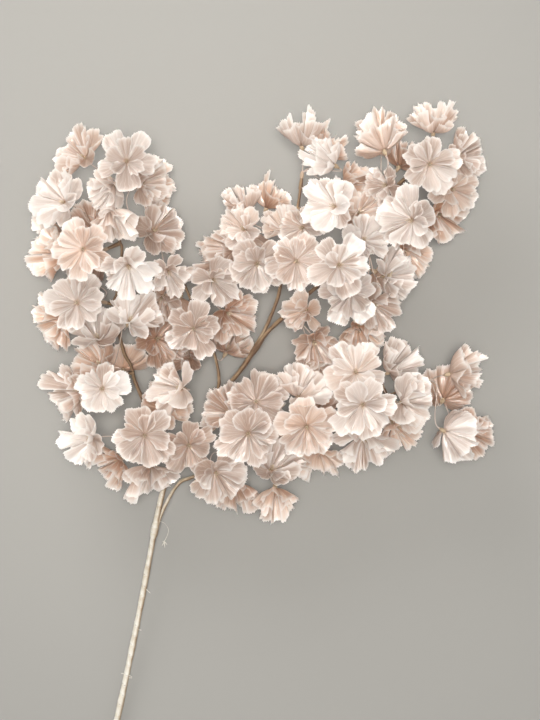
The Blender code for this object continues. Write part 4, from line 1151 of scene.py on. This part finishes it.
# %% Fibres of tape
# Each loose end: how far up the sheet it is, and the direction and length of its fibre
NUBS = [(-199, -0.7, 5.5), (-236, -0.2, 3.0), (-276, -0.5, 3.6), (-277, -0.1, 3.2), (-275, 3.0, 3.0)]
LOOSE_SIDES, PALEST = 5, -1.0  # corners round a loose fibre; the tone of bare paper
nub_t = np.linspace(0, 1, 6)
for y, way, length in NUBS:
    row = stem[np.abs(stem[:, 1] - y).argmin()]
    way = np.array([math.cos(way), math.sin(way), 0.25])
    line = row[:3] + way * (row[3] * 0.8 + length * nub_t[:, None]) + shift
    thin = 0.5 * (1 - 0.7 * nub_t) + 0.15 * np.sin(11 * nub_t)
    wire_pieces[0][1].append(tube(line, thin, UP, LOOSE_SIDES, brown=PALEST, step=0.5))
print("the lower stem has", len(NUBS), "loose fibres")

# %% A stray wisp of thread
WISP = [(-96, -140, 29, 0.16), (-91, -142, 34, 0.16), (-88, -147, 37, 0.16), (-89, -152, 38, 0.18),
        (-91.5, -157, 38, 0.3)]
TUFT_ENDS = [(-93.5, -161, 38), (-91, -162.5, 39), (-89, -160, 38), (-93, -157, 40)]
wisps = [smooth_route(WISP, 1.0)]
for end in TUFT_ENDS:
    halfway = 0.5 * (np.array(WISP[-1][:3]) + end)
    wisps.append(smooth_route([WISP[-1], [*halfway, 0.35], [*end, 0.12]], 1.0))
for route in wisps:
    line = route[:, :3] + shift
    wire_pieces[0][1].append(tube(line, route[:, 3], UP, LOOSE_SIDES, brown=PALEST, step=0.5))
print("the wisp and its frayed end have", len(wisps), "strands")

# %% One object for each wire
stem_pieces = []
for twig, surfaces in wire_pieces:
    for points, _, _ in surfaces:
        points[:, 2] = np.maximum(points[:, 2], 0.0)
    stem_pieces.append(make_piece(twig + "_tape", surfaces, crepe_tape, [twig]))
print("stems have", triangles(stem_pieces), "triangles")

# %% [markdown]
# ## Floor, light and camera
# A cut stem stands nowhere by itself, so the spray lies on a plain warm grey floor, and the
# camera looks straight down on it through a long lens from about two and a third metres. A
# soft window above the upper left gives the petals their form. One window alone would leave
# the gaps between the blooms black, so even daylight straight down and a small lamp above the
# middle light them too, and the pale room fills the rest.

# %% Floor
FLOOR = 30.0  # m, half the floor's side, so far that no view shows its edge
square = [(-FLOOR, -FLOOR, 0), (FLOOR, -FLOOR, 0), (FLOOR, FLOOR, 0), (-FLOOR, FLOOR, 0)]
floor_mesh = bpy.data.meshes.new("floor")
floor_mesh.from_pydata(square, [], [(0, 1, 2, 3)])
floor = bpy.data.objects.new("floor", floor_mesh)
bpy.context.scene.collection.objects.link(floor)
floor_paint, floor_surface = new_material("matt_floor_paint")
paint = add_node(floor_paint, "ShaderNodeBsdfPrincipled", Base_Color=colour("#7C7B78"), Roughness=0.9)
finish_material(floor_paint, paint, floor_surface)
floor_mesh.materials.append(floor_paint)

# %% Light
from mathutils import Vector

# The middle of the blooms lies 80 mm up the sheet from its own middle, and 60 mm high
BLOOMS_MIDDLE = Vector((shift[0] * MM, shift[1] * MM + 0.08, 0.06))


def add_light(name, kind, offset, power, hex_code, **settings):
    """A light that faces the middle of the blooms from an offset in metres, and that the
    camera doesn't see."""
    light = bpy.data.lights.new(name, kind)
    light.energy = power
    light.color = colour(hex_code)[:3]
    for key, value in settings.items():
        setattr(light, key, value)
    lamp = bpy.data.objects.new(name, light)
    lamp.location = BLOOMS_MIDDLE + Vector(offset)
    lamp.rotation_euler = (-Vector(offset)).to_track_quat("-Z", "Y").to_euler()
    lamp.visible_camera = False
    bpy.context.scene.collection.objects.link(lamp)
    return lamp


add_light("window", "AREA", (-0.6, 1.0, 0.92), 20, "#FFFCF8", size=0.9)
add_light("lamp", "AREA", (0.0, -0.05, 2.7), 3.3, "#FFFCF6", size=0.4, spread=math.radians(40))
add_light("overhead", "SUN", (0.0, 0.0, 2.7), 1.4, "#FFFCF6", angle=math.radians(10))
ROOM = 0.92  # brightness of the pale room
world = bpy.data.worlds.new("soft_room")
world.use_nodes = True
background = world.node_tree.nodes["Background"]
background.inputs["Color"].default_value = colour("#E9E8E6")
background.inputs["Strength"].default_value = ROOM
bpy.context.scene.world = world
bpy.context.scene.view_settings.view_transform = "Standard"
print("lights:", [light.name for light in bpy.data.lights])

# %% Camera
IMAGE_HEIGHT = 720  # pixels
MM_A_PIXEL = 0.85  # at the height of the blooms
BLOOM_HEIGHT, CAMERA_HEIGHT = 0.08, 2.35  # m
SENSOR = 36.0  # mm, which covers the height of an upright picture
lens = bpy.data.cameras.new("camera")
lens.sensor_width = SENSOR
lens.lens = SENSOR * (CAMERA_HEIGHT - BLOOM_HEIGHT) / (IMAGE_HEIGHT * MM_A_PIXEL * MM)
lens.clip_end = 20.0
camera = bpy.data.objects.new("camera", lens)
camera.location = (shift[0] * MM, shift[1] * MM, CAMERA_HEIGHT)
bpy.context.scene.collection.objects.link(camera)
bpy.context.scene.camera = camera
print("the lens is", round(lens.lens, 1), "mm")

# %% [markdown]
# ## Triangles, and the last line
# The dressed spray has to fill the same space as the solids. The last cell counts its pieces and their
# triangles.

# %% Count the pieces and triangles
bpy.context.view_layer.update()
all_pieces = petal_pieces + thread_pieces + tuft_pieces + stem_pieces
print(len(all_pieces), "pieces have", triangles(all_pieces), "triangles")
